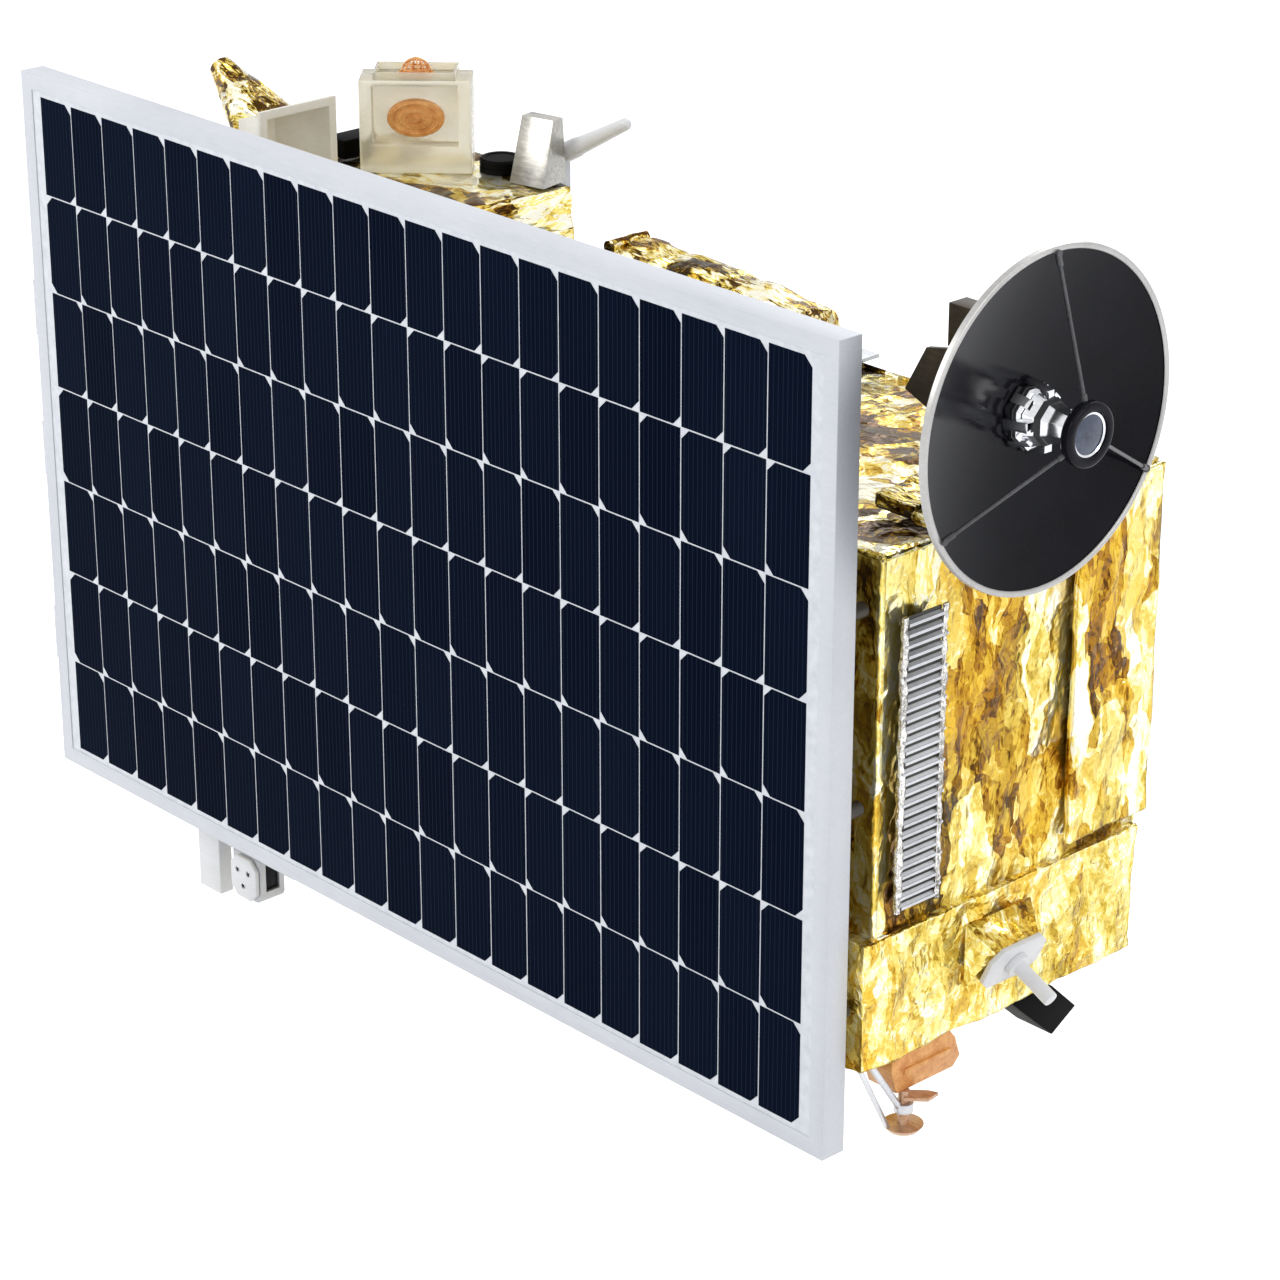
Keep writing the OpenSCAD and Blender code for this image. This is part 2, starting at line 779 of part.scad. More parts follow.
module sub_lens() {
    color("#44506a") translate([rim_x + sub_reach + sub_t - lens_in, dish_y, axis_z])
        rotate([0, 90, 0]) cylinder(h = lens_t, r = lens_r);
}

module sub_struts() {
    foot_r = dish_r - 10;
    color("gray") translate([0, dish_y, axis_z]) difference() {
        for (turn = [0, 120, 240]) rotate([turn, 0, 0]) {
            bar([rim_x - 5, 0, foot_r], [rim_x + sub_reach + sub_t / 2, 0, 0], 3);
            translate([0, 0, foot_r]) x_bar(5, rim_x - 5, rim_x + 4);
        }
        x_bar(sub_r, rim_x + sub_reach - 30, rim_x + sub_reach + 40);
        x_bar(dish_r + 5, rim_x - 30, rim_x);
    }
}

// A box as wide and high as the panel, drawn in by one inset all round
module panel_block(inset, y0, y1) {
    block([-panel_w / 2 + inset, y0, panel_z + inset],
        [panel_w / 2 - inset, y1, panel_z + panel_h - inset]);
}

module panel_frame() {
    color("lavender") difference() {
        panel_block(0, panel_y, panel_back);
        panel_block(rail_wall, glass_y, panel_back - rail_wall);
        panel_block(lip_w, panel_y - 1, panel_back + 1);
    }
}

module panel_glass() {
    color("white") panel_block(rail_wall + glass_play, glass_y, glass_back);
}

// One half cell: two of its corners are cut, on the right in odd rows and on the left in even
module half_cell(flip) {
    mirror([flip ? 1 : 0, 0]) polygon([[-cell_w / 2, -cell_h / 2],
        [cell_w / 2 - cell_cut, -cell_h / 2], [cell_w / 2, -cell_h / 2 + cell_cut],
        [cell_w / 2, cell_h / 2 - cell_cut], [cell_w / 2 - cell_cut, cell_h / 2],
        [-cell_w / 2, cell_h / 2]]);
}

module solar_cells() {
    color("midnightblue") for (row = [0 : cell_rows - 1], col = [0 : cell_cols - 1])
        translate([-panel_w / 2 + border_x + cell_w / 2 + col * pitch_x, glass_y,
            panel_z + panel_h - border_z - cell_h / 2 - row * pitch_z])
            rotate([90, 0, 0]) linear_extrude(cell_t) half_cell(row % 2 == 1);
}

module cross_rails() {
    color("silver") for (x = rail_places)
        block([x - rail_w / 2, glass_back, panel_z + rail_wall],
            [x + rail_w / 2, panel_back - rail_wall, panel_z + panel_h - rail_wall]);
}

adapter_ring();
base_module();
main_body();
side_blanket();
deck_plate();
payload_box();
rear_rail();
deck_hump();
cone_antenna();
cone_bracket();
square_horn();
receiver_box();
drum_unit();
clear_case();
patch_antenna();
wire_dome();
clear_tray();
sensor_hood();
rod_antenna();
rod_bracket();
louvre_frame();
louvre_slats();
flange_bracket();
side_flange();
side_probe();
nadir_sensor();
thruster_bracket();
thruster_stem();
thruster_struts();
camera_post();
camera_arm();
camera_body();
camera_cap();
camera_window();
hinge_brackets();
hold_downs();
gimbal_base();
gimbal_yoke();
dish_hub();
reflector();
dish_rim();
dish_feed();
sub_struts();
sub_ring();
sub_lens();
panel_frame();
panel_glass();
solar_cells();
cross_rails();
hinge_leaves();
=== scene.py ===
# Looks for a small Earth-observation satellite: gold foil over a box-shaped bus, a framed
# solar panel hinged to the front, a steerable black dish and instruments on the top deck.
import math

import bpy
import bmesh
import numpy as np
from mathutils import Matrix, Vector, kdtree


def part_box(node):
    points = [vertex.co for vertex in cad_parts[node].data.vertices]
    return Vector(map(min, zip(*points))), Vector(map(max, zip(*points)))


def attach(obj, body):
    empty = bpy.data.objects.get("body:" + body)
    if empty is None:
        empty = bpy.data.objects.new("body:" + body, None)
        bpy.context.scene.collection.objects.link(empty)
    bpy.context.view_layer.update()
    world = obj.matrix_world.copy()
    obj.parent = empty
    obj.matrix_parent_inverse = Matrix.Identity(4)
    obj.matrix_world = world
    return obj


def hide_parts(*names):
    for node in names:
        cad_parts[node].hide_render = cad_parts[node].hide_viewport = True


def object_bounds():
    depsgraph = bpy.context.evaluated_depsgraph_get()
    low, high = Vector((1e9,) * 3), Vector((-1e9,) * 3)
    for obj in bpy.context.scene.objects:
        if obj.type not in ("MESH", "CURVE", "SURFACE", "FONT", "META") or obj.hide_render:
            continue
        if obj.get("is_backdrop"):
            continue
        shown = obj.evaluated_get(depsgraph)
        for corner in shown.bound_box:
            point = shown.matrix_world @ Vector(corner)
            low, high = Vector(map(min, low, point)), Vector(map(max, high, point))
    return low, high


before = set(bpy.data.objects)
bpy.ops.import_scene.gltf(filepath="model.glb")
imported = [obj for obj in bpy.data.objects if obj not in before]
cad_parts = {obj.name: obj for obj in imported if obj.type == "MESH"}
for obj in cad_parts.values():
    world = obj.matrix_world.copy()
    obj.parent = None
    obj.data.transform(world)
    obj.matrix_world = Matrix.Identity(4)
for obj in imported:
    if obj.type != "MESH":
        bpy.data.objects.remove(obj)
cad_low, cad_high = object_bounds()

# The studio: a camera above the front right corner, a white floor below the satellite, a
# soft key lamp from the front left and an even white surround.
scene = bpy.context.scene
scene.view_settings.view_transform = "Standard"


def feed(nt, node, inputs):
    """Gives a node's inputs plain values or the sockets that feed them."""
    for key, value in inputs.items():
        if isinstance(value, bpy.types.NodeSocket):
            nt.links.new(value, node.inputs[key])
        else:
            node.inputs[key].default_value = value


def add(nt, kind, inputs=None, **settings):
    """Adds a node with its settings, then feeds its inputs."""
    node = nt.nodes.new(kind)
    for key, value in settings.items():
        setattr(node, key, value)
    feed(nt, node, inputs or {})
    return node


def maths(nt, operation, *values):
    return add(nt, "ShaderNodeMath", dict(enumerate(values)), operation=operation).outputs[0]


def blended(nt, factor, first, second):
    """Two colours mixed by a factor."""
    return add(nt, "ShaderNodeMix", {"Factor": factor, 6: first, 7: second},
               data_type="RGBA").outputs[2]


def seen_ray(nt):
    """1 for rays from the camera, a mirror or glass, 0 for rays that only carry light."""
    rays = add(nt, "ShaderNodeLightPath").outputs
    return maths(nt, "MAXIMUM", rays["Is Camera Ray"],
                 maths(nt, "MAXIMUM", rays["Is Glossy Ray"], rays["Is Transmission Ray"]))


camera_data = bpy.data.cameras.new("camera")
camera_data.sensor_width = 36
camera_data.lens = 109.5
camera_data.clip_end = 60
camera = bpy.data.objects.new("camera", camera_data)
scene.collection.objects.link(camera)
camera_turn, camera_height = math.radians(47.31), math.radians(23.04)
back = Vector((math.sin(camera_turn) * math.cos(camera_height),
               -math.cos(camera_turn) * math.cos(camera_height), math.sin(camera_height)))
camera.location = (4.119, -3.645, 2.672)
camera.rotation_euler = back.to_track_quat("Z", "Y").to_euler()
scene.camera = camera

world = bpy.data.worlds.new("surround")
scene.world = world
world.use_nodes = True
sky = world.node_tree
sky.nodes.clear()
surround = blended(sky, seen_ray(sky), (0.62, 0.64, 0.68, 1), (1, 1, 1, 1))
add(sky, "ShaderNodeOutputWorld", {"Surface": add(
    sky, "ShaderNodeBackground", {"Color": surround, "Strength": 1.0}).outputs[0]})


def lamp(name, place, target, energy, size, colour):
    """A square area lamp that faces its target."""
    data = bpy.data.lights.new(name, "AREA")
    data.energy = energy
    data.size = size
    data.color = colour
    obj = bpy.data.objects.new(name, data)
    scene.collection.objects.link(obj)
    obj.location = place
    obj.rotation_euler = (Vector(place) - Vector(target)).to_track_quat("Z", "Y").to_euler()


lamp("key_lamp", (-2.2, -5.2, 4.4), (0, -0.3, 0.5), 170, 3.2, (1, 0.99, 0.97))
lamp("side_lamp", (5.5, 0.8, 2.6), (0.9, 0, 0.5), 62, 2.4, (1, 0.98, 0.95))
lamp("back_lamp", (-1.5, 5.0, 4.5), (0, 0, 0.6), 120, 3.0, (0.97, 0.98, 1))


def white_floor():
    """Pale paint that glows to the camera, so that the floor runs into the surround."""
    material = bpy.data.materials.new("white_floor")
    material.use_nodes = True
    nt = material.node_tree
    nt.nodes.clear()
    paint = add(nt, "ShaderNodeBsdfDiffuse", {"Color": (0.82, 0.82, 0.83, 1)})
    glow = add(nt, "ShaderNodeEmission", {"Color": (1, 1, 1, 1), "Strength": 0.62})
    both = add(nt, "ShaderNodeAddShader", {0: paint.outputs[0], 1: glow.outputs[0]})
    mixed = add(nt, "ShaderNodeMixShader", {0: seen_ray(nt), 1: paint.outputs[0],
                                            2: both.outputs[0]})
    add(nt, "ShaderNodeOutputMaterial", {"Surface": mixed.outputs[0]})
    return material


floor_drop, floor_half = 0.35, 30
floor_mesh = bpy.data.meshes.new("floor")
floor_mesh.from_pydata([(floor_half * x, floor_half * y, cad_low.z - floor_drop)
                        for x, y in ((-1, -1), (1, -1), (1, 1), (-1, 1))], [], [(0, 1, 2, 3)])
floor = bpy.data.objects.new("floor", floor_mesh)
scene.collection.objects.link(floor)
floor_mesh.materials.append(white_floor())
floor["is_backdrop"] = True

# The foil blankets on the bus: thin aluminised film, gold outside, crumpled by hand and
# taped over the lower module, the main body, the payload box and the raised side blanket.
# painted reflection: the foil tones run from the near-black of a dark painted reflection through
# the film's gold to a pale painted highlight
gold_reflection_tones = [(0.0, (0.05, 0.026, 0.002)), (0.14, (0.24, 0.13, 0.008)),
              (0.3, (0.51, 0.345, 0.034)), (0.48, (0.74, 0.55, 0.10)),
              (0.66, (0.88, 0.75, 0.25)), (0.84, (0.96, 0.88, 0.5)), (1.0, (1, 0.97, 0.82))]
amber_reflection_tones = [(0.0, (0.09, 0.035, 0.002)), (0.2, (0.36, 0.16, 0.008)),
               (0.5, (0.74, 0.46, 0.035)), (0.75, (0.88, 0.65, 0.12)), (1.0, (1, 0.9, 0.55))]


def group_of(name, inputs, outputs, kind_of_tree="ShaderNodeTree"):
    """An empty node group with (name, kind, plain value) inputs and (name, kind) outputs."""
    group = bpy.data.node_groups.new(name, kind_of_tree)
    for key, kind, *value in inputs:
        socket = group.interface.new_socket(key, in_out="INPUT", socket_type="NodeSocket" + kind)
        if value:
            socket.default_value = value[0]
    for key, kind in outputs:
        group.interface.new_socket(key, in_out="OUTPUT", socket_type="NodeSocket" + kind)
    return group, add(group, "NodeGroupInput").outputs


def foil_crinkle_group():
    """Crinkles in three sizes as a height, slow patches, and facets in three sizes as folds, each
    facet a random painted reflection.
    """
    group, given = group_of(
        "foil_crinkle", [("Position", "Vector"), ("Size", "Float", 0.03),
                         ("Warp", "Float", 0.02), ("Facets", "Float", 1.0)],
        [("Height", "Float"), ("Patch", "Float"), ("Facet Reflection", "Float")])
    warp = add(group, "ShaderNodeTexNoise", {"Vector": given["Position"], "Scale": 16.0,
                                             "Detail": 3.0, "Roughness": 0.55})
    centred = add(group, "ShaderNodeVectorMath", {0: warp.outputs["Color"], 1: (0.5, 0.5, 0.5)},
                  operation="SUBTRACT")
    shift = add(group, "ShaderNodeVectorMath", {0: centred.outputs[0], "Scale": given["Warp"]},
                operation="SCALE")
    moved = add(group, "ShaderNodeVectorMath", {0: given["Position"], 1: shift.outputs[0]},
                operation="ADD")
    total = None
    for share, weight in ((1.0, 1.0), (0.45, 0.27), (0.2, 0.07)):
        scale = maths(group, "DIVIDE", 1.0, maths(group, "MULTIPLY", given["Size"], share))
        cells = add(group, "ShaderNodeTexVoronoi", {"Vector": moved.outputs[0], "Scale": scale})
        part = maths(group, "MULTIPLY", cells.outputs["Distance"], weight)
        total = part if total is None else maths(group, "ADD", total, part)
    patch = add(group, "ShaderNodeTexNoise", {"Vector": given["Position"], "Scale": 4.5,
                                              "Detail": 4.0, "Roughness": 0.6})
    leaning = add(group, "ShaderNodeMapping", {"Vector": moved.outputs[0],
                                               "Rotation": (0.45, 0.2, 0.3),
                                               "Scale": (1.0, 1.0, 0.3)})
    # painted reflection: each facet of the leaning folds takes its own random brightness, as if it
    # mirrored another part of the room
    facet_reflection = None
    for scale, weight in ((14.0, 0.45), (34.0, 0.35), (80.0, 0.2)):
        scale = maths(group, "MULTIPLY", given["Facets"], scale)
        facets = add(group, "ShaderNodeTexVoronoi", {"Vector": leaning.outputs[0],
                                                     "Scale": scale})
        part = maths(group, "MULTIPLY", facets.outputs["Color"], weight)
        facet_reflection = part if facet_reflection is None else maths(group, "ADD", facet_reflection, part)
    add(group, "NodeGroupOutput", {"Height": total, "Patch": patch.outputs[0], "Facet Reflection": facet_reflection})
    return group


foil_crinkle = foil_crinkle_group()


def principled(name, **values):
    """A material with one Principled shader; plain values are set on its own sockets."""
    material = bpy.data.materials.new(name)
    material.use_nodes = True
    nt = material.node_tree
    nt.nodes.clear()
    shader = add(nt, "ShaderNodeBsdfPrincipled", values)
    add(nt, "ShaderNodeOutputMaterial", {"Surface": shader.outputs[0]})
    return material, nt, shader


def ramp(nt, factor, stops):
    """A colour ramp through (place, colour) stops."""
    node = add(nt, "ShaderNodeValToRGB", {"Fac": factor})
    bar = node.color_ramp
    while len(bar.elements) < len(stops):
        bar.elements.new(0.5)
    for element, (place, colour) in zip(bar.elements, stops):
        element.position = place
        element.color = (*colour, 1)
    return node.outputs["Color"]


def foil(name, size, depth, warp, brightness, contrast=1.0, stretch=(1, 1, 1), folds=1.0,
         facets=1.0, tones=gold_reflection_tones, deep_tones=amber_reflection_tones):
    """Foil whose colour is mostly painted reflection, with slow random patches: it follows the tilt
    of its wrinkles, as bright film in a lit room does.
    """
    material, nt, shader = principled(name, Metallic=0.85, Roughness=0.24)
    place = add(nt, "ShaderNodeTexCoord").outputs["Object"]
    place = add(nt, "ShaderNodeMapping", {"Vector": place, "Scale": stretch}).outputs[0]
    crinkle = add(nt, "ShaderNodeGroup", {"Position": place, "Size": size, "Warp": warp,
                                          "Facets": facets}, node_tree=foil_crinkle).outputs
    bump = add(nt, "ShaderNodeBump", {"Height": crinkle["Height"], "Strength": 1.0,
                                      "Distance": depth}).outputs[0]
    # painted reflection: a noise read from the bumped normal gives each tilt of the film its own
    # light or dark tone
    tilt = add(nt, "ShaderNodeTexNoise", {"Vector": bump, "Scale": 1.9, "Detail": 2.0,
                                          "Roughness": 0.55})
    lift = add(nt, "ShaderNodeSeparateXYZ", {"Vector": bump}).outputs["Z"]
    drift = maths(nt, "MULTIPLY", maths(nt, "SUBTRACT", tilt.outputs[0], 0.5), 2.6 * contrast)
    # slow random patches, and the painted reflection of the fold facets at the weight folds
    for key, weight in (("Patch", 0.8), ("Facet Reflection", 2.0 * folds)):
        drift = maths(nt, "MULTIPLY_ADD", maths(nt, "SUBTRACT", crinkle[key], 0.5), weight,
                      drift)
    # painted reflection: film that faces up gets stronger painted darks and highlights, as film
    # that lies flat on a deck shows the dark and the bright parts of the room more
    upward_reflection_gain = maths(nt, "MULTIPLY_ADD", maths(nt, "MAXIMUM", lift, 0.0), 0.9, 1.0)
    tone = maths(nt, "MULTIPLY_ADD", drift, upward_reflection_gain, brightness)
    amber = ramp(nt, maths(nt, "ADD", crinkle["Patch"], maths(
        nt, "MULTIPLY", crinkle["Facet Reflection"], -0.35)), [(0.30, (0, 0, 0)), (0.42, (1, 1, 1))])
    # the base colour is this painted reflection taken through the tones, with the deep tones where
    # patches and facets call for them
    feed(nt, shader, {
        "Base Color": blended(nt, amber, ramp(nt, tone, tones), ramp(nt, tone, deep_tones)),
        "Roughness": maths(nt, "MULTIPLY_ADD", crinkle["Patch"], 0.22, 0.14), "Normal": bump})
    return material


def soften_edges(form, width):
    """Rounds the sharp edges by a small radius."""
    edges = [e for e in form.edges if len(e.link_faces) == 2
             and e.calc_face_angle(0) > math.radians(28)]
    bmesh.ops.bevel(form, geom=edges, offset=width, segments=2, profile=0.5,
                    affect="EDGES", clamp_overlap=True)


def shaded(data, sharp):
    """Smooth shading, but for the edges that turn by more than sharp degrees."""
    data.polygons.foreach_set("use_smooth", [True] * len(data.polygons))
    data.set_sharp_from_angle(angle=math.radians(sharp))


def placed(name, data, body, replaced=()):
    """Puts a mesh in the scene, on its body, in place of CAD nodes."""
    piece = bpy.data.objects.new(name, data)
    scene.collection.objects.link(piece)
    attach(piece, body)
    for node in replaced:
        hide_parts(node)


def mesh_piece(name, verts, faces, material, body, slot, replaced=(), sharp=40, merge=1e-5,
               bevel=0):
    """Makes, cleans, shades and places one piece of the model."""
    data = bpy.data.meshes.new(name)
    data.from_pydata([tuple(v) for v in verts], [], [tuple(f) for f in faces])
    form = bmesh.new()
    form.from_mesh(data)
    bmesh.ops.remove_doubles(form, verts=form.verts, dist=merge)
    bmesh.ops.recalc_face_normals(form, faces=form.faces)
    if bevel:
        soften_edges(form, bevel)
    form.to_mesh(data)
    form.free()
    shaded(data, sharp)
    data.materials.append(material)
    placed(name, data, body, replaced)


def cones(points, size, seed, stretch=(1, 1, 1), near=5):
    """Crumple heights: the lowest of many cones with random tops, in the range 0 to about 1."""
    rng = np.random.default_rng(seed)
    scaled = points * np.array(stretch)
    span = np.ptp(scaled, axis=0)
    area = 2 * (span[0] * span[1] + span[1] * span[2] + span[0] * span[2])
    count = int(max(12, area / size ** 2))
    seeds = scaled[rng.integers(0, len(scaled), count)] + rng.normal(0, size * 0.25, (count, 3))
    tops = rng.uniform(0, 0.7, count)
    slopes = rng.uniform(0.7, 1.4, count)
    tree = kdtree.KDTree(count)
    for i, seed_point in enumerate(seeds):
        tree.insert(seed_point, i)
    tree.balance()
    heights = np.empty(len(scaled))
    for i, point in enumerate(scaled):
        heights[i] = min(tops[k] + slopes[k] * d / size
                         for _, k, d in tree.find_n(point, near))
    return heights


def swell(points, size, seed):
    """Slow waves over a length of about size, in the range -1 to 1."""
    rng = np.random.default_rng(seed)
    total = np.zeros(len(points))
    for _ in range(6):
        way = rng.normal(size=3)
        way *= 2 * math.pi / size / np.linalg.norm(way) * rng.uniform(0.6, 1.5)
        total += np.sin(points @ way + rng.uniform(0, 6.3))
    return total / 3.2


def box_grid(low, high, step):
    """Quads over a box's six sides at about the given step, side by side but not joined."""
    verts, faces = [], []
    low, high = np.array(low, float), np.array(high, float)
    for axis in range(3):
        u, v = (axis + 1) % 3, (axis + 2) % 3
        nu = max(1, round((high[u] - low[u]) / step))
        nv = max(1, round((high[v] - low[v]) / step))
        for side in (0, 1):
            start = len(verts)
            for i in range(nu + 1):
                for j in range(nv + 1):
                    p = np.empty(3)
                    p[axis] = (low, high)[side][axis]
                    p[u] = low[u] + (high[u] - low[u]) * i / nu
                    p[v] = low[v] + (high[v] - low[v]) * j / nv
                    verts.append(p)
            for i in range(nu):
                for j in range(nv):
                    a = start + i * (nv + 1) + j
                    faces.append((a, a + nv + 1, a + nv + 2, a + 1))
    return np.array(verts), faces


def foil_box(name, low, high, material, slot, replaced, step, folds, seed, round_r=0.007,
             stretch=(1, 1, 1), proud=0.003):
    """A box wrapped in crumpled foil: rounded edges, then cone-shaped dents and ridges, at
    most proud outside the box and deepest inside it."""
    deepest = 0.016
    low, high = np.array(low, float), np.array(high, float)
    verts, faces = box_grid(low, high, step)
    inner = np.clip(verts, low + round_r, high - round_r)
    away = verts - inner
    length = np.linalg.norm(away, axis=1)
    # a point on a flat side moves along one axis, a point near an edge along its rounding
    outward = away / np.maximum(length, 1e-9)[:, None]
    verts = inner + outward * round_r
    height = np.zeros(len(verts))
    for k, (size, depth) in enumerate(folds):
        first = cones(verts, size, seed + 10 * k, stretch)
        second = cones(verts, size * 1.3, seed + 10 * k + 5, stretch)
        height += depth * (first - 0.8 * second)
    height += 0.4 * folds[0][1] * swell(verts, folds[0][0] * 2.5, seed + 99)
    height -= height.max() - proud
    height = np.maximum(height, -deepest)
    verts = verts + outward * height[:, None]
    mesh_piece(name, verts, faces, material, "bus", slot, replaced, sharp=180)


body_foil = foil("body_foil", 0.075, 0.013, 0.06, 0.50, 0.62, (1, 1, 0.75), 0.95)
module_foil = foil("module_foil", 0.04, 0.008, 0.04, 0.61, 0.5, folds=0.5, facets=2.4)
module_lap, body_lap = 0.012, 0.009   # each blanket runs on past the seam between the two
low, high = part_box("base_module")
foil_box("base_foil", low, (high.x, high.y, high.z + module_lap), module_foil, "gold_foil",
         ["base_module"], 0.0075, [(0.05, 0.0042), (0.02, 0.0022)], 3, round_r=0.004)
low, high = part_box("main_body")
foil_box("body_foil", (low.x, low.y, low.z - body_lap), high, body_foil, "gold_foil",
         ["main_body"], 0.0085, [(0.17, 0.011), (0.06, 0.005)], 7, round_r=0.004,
         stretch=(1, 1, 0.6), proud=0.0035)
low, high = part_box("side_blanket")
foil_box("side_blanket_foil", (low.x - 0.006, low.y, low.z), (high.x + 0.002, high.y, high.z),
         body_foil, "gold_foil", ["side_blanket"], 0.006, [(0.07, 0.004), (0.03, 0.002)], 19,
         round_r=0.003, stretch=(1, 1, 0.5))
payload_film = foil("payload_film", 0.05, 0.010, 0.05, 0.36, 1.4, (0.5, 0.5, 1.5), 0.9)
low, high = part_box("payload_box")
foil_box("payload_foil", low, high, payload_film, "gold_foil", ["payload_box"], 0.006,
         [(0.06, 0.005), (0.025, 0.0025)], 23, stretch=(0.6, 0.6, 1.4))


# The foil-wrapped equipment cover on the deck and the cone antenna beside the horn: the same
# film, pulled over a rounded cover whose left end is rolled up, and round a blunt cone.
def tube_faces(rows, sides, closed=False):
    """Quads between rings of points, with a flat face at each end if closed."""
    faces = []
    for row in range(rows - 1):
        for k in range(sides):
            a, b = row * sides + k, row * sides + (k + 1) % sides
            faces.append((a, b, b + sides, a + sides))
    if closed:
        faces += [tuple(range(sides)), tuple(range((rows - 1) * sides, rows * sides))]
    return faces


def sheet_faces(rows, columns):
    """Quads over a sheet of rows + 1 by columns + 1 points."""
    faces = []
    for row in range(rows):
        for k in range(columns):
            a = row * (columns + 1) + k
            faces.append((a, a + 1, a + columns + 2, a + columns + 1))
    return faces


def lathe(profile, origin, axis, sides=96):
    """A profile of (radius, distance) turned about an axis through origin."""
    turn = Vector(axis).to_track_quat("Z", "Y").to_matrix()
    verts = []
    for radius, along in profile:
        for k in range(sides):
            angle = 2 * math.pi * k / sides
            verts.append(Vector(origin) + turn @ Vector((radius * math.cos(angle),
                                                         radius * math.sin(angle), along)))
    return verts, tube_faces(len(profile), sides)


def crumpled(verts, centre_of, folds, seed, proud=0.002):
    """Moves points along the line from their centre by crumple heights."""
    verts = np.array([tuple(v) for v in verts])
    outward = verts - np.array([centre_of(v) for v in verts])
    outward /= np.maximum(np.linalg.norm(outward, axis=1), 1e-9)[:, None]
    height = np.zeros(len(verts))
    for k, (size, depth) in enumerate(folds):
        height += depth * (cones(verts, size, seed + 10 * k)
                           - 0.8 * cones(verts, size * 1.3, seed + 10 * k + 5))
    height -= np.percentile(height, 97) - proud
    return verts + outward * np.clip(height, -0.02, proud + 0.003)[:, None]


hump_foil = foil("hump_foil", 0.05, 0.011, 0.05, 0.44, 1.5, (0.5, 1.4, 1), 1.0)
low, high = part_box("deck_hump")
hump_middle, hump_half = (low.y + high.y) / 2, (high.y - low.y) / 2
hump_rows, hump_arc = 76, 34
verts = []
for i in range(hump_rows + 1):
    t = i / hump_rows
    x = low.x + (high.x - low.x) * t
    tall = (high.z - low.z) * (1 - 0.18 * max(0, (t - 0.5) / 0.5)) * (0.88 if i == 0 else 1)
    for k in range(hump_arc + 1):
        a = math.pi * k / hump_arc
        verts.append((x, hump_middle + hump_half * math.cos(a),
                      low.z + tall * math.sin(a) ** 0.7))
faces = sheet_faces(hump_rows, hump_arc)
for end_row in (0, hump_rows):
    start = end_row * (hump_arc + 1)
    faces.append(tuple(range(start, start + hump_arc + 1)))
verts = crumpled(verts, lambda v: (v[0], hump_middle, low.z), [(0.07, 0.011), (0.03, 0.004)], 41)
verts[:, 2] = np.maximum(verts[:, 2], low.z)
mesh_piece("hump_cover_foil", verts, faces, hump_foil, "bus", "gold_foil", ["deck_hump"],
           sharp=180)
roll_r, roll_turns, roll_inset, roll_steps, roll_points = 0.013, 2.2, 0.012, 22, 40
spiral = [(roll_r * (0.35 + 0.65 * k / roll_points), roll_turns * 2 * math.pi * k / roll_points)
          for k in range(roll_points + 1)]
verts = []
for j in range(roll_steps + 1):
    y = hump_middle - 0.045 + 0.075 * j / roll_steps
    for radius, a in spiral:
        verts.append((low.x + roll_inset + radius * math.cos(a), y,
                      high.z - roll_inset + radius * math.sin(a)))
verts = crumpled(verts, lambda v: (low.x + roll_inset, v[1], high.z - roll_inset),
                 [(0.02, 0.002)], 47)
mesh_piece("hump_foil_roll", verts, sheet_faces(roll_steps, roll_points), hump_foil, "bus",
           "gold_foil", sharp=180)

# a turned form ends this near its axis, and the ring there is merged into one point
pole_r, pole_merge = 0.0005, 8e-4
cone_way, cone_base = Vector((-0.819, 0, 0.574)), Vector((-0.720, 0.012, 0.986))
cone_long, cone_base_r, cone_taper = 0.150, 0.058, 0.040
cone_profile = [(pole_r, 0.001)] + [(cone_base_r - cone_taper * t, cone_long * t)
                                    for t in np.linspace(0, 1, 30)]
cone_profile += [(0.0145, 0.1495), (0.0125, 0.143), (pole_r, 0.141)]
verts, faces = lathe(cone_profile, cone_base, cone_way, 56)
verts = crumpled(verts, lambda v: cone_base + cone_way * (Vector(v) - cone_base).dot(cone_way),
                 [(0.035, 0.0035), (0.014, 0.0014)], 53, 0.0015)
mesh_piece("cone_antenna_foil", verts, faces, hump_foil, "bus", "gold_foil", ["cone_antenna"],
           sharp=60, merge=pole_merge)


# The structure that shows outside the foil: grey deck plate, rail, launch ring, hinge plates,
# rests and small brackets, milled from aluminium and left bright or grey anodised.
def wear_group():
    """Soft mottling and fine streaks that break up a plain metal or painted face."""
    group, given = group_of(
        "surface_wear", [("Position", "Vector"), ("Mottle", "Float", 9.0),
                         ("Grain", "Float", 220.0)],
        [("Mask", "Float"), ("Height", "Float")])
    mottle = add(group, "ShaderNodeTexNoise", {"Vector": given["Position"],
                                               "Scale": given["Mottle"], "Detail": 5.0,
                                               "Roughness": 0.6})
    streak = add(group, "ShaderNodeMapping", {"Vector": given["Position"],
                                              "Scale": (0.15, 1.0, 1.0)})
    grain = add(group, "ShaderNodeTexNoise", {"Vector": streak.outputs[0],
                                              "Scale": given["Grain"], "Detail": 2.0})
    mask = maths(group, "MULTIPLY_ADD", grain.outputs[0], 0.3,
                 maths(group, "MULTIPLY", mottle.outputs[0], 0.7))
    add(group, "NodeGroupOutput", {"Mask": mask, "Height": grain.outputs[0]})
    return group


surface_wear = wear_group()


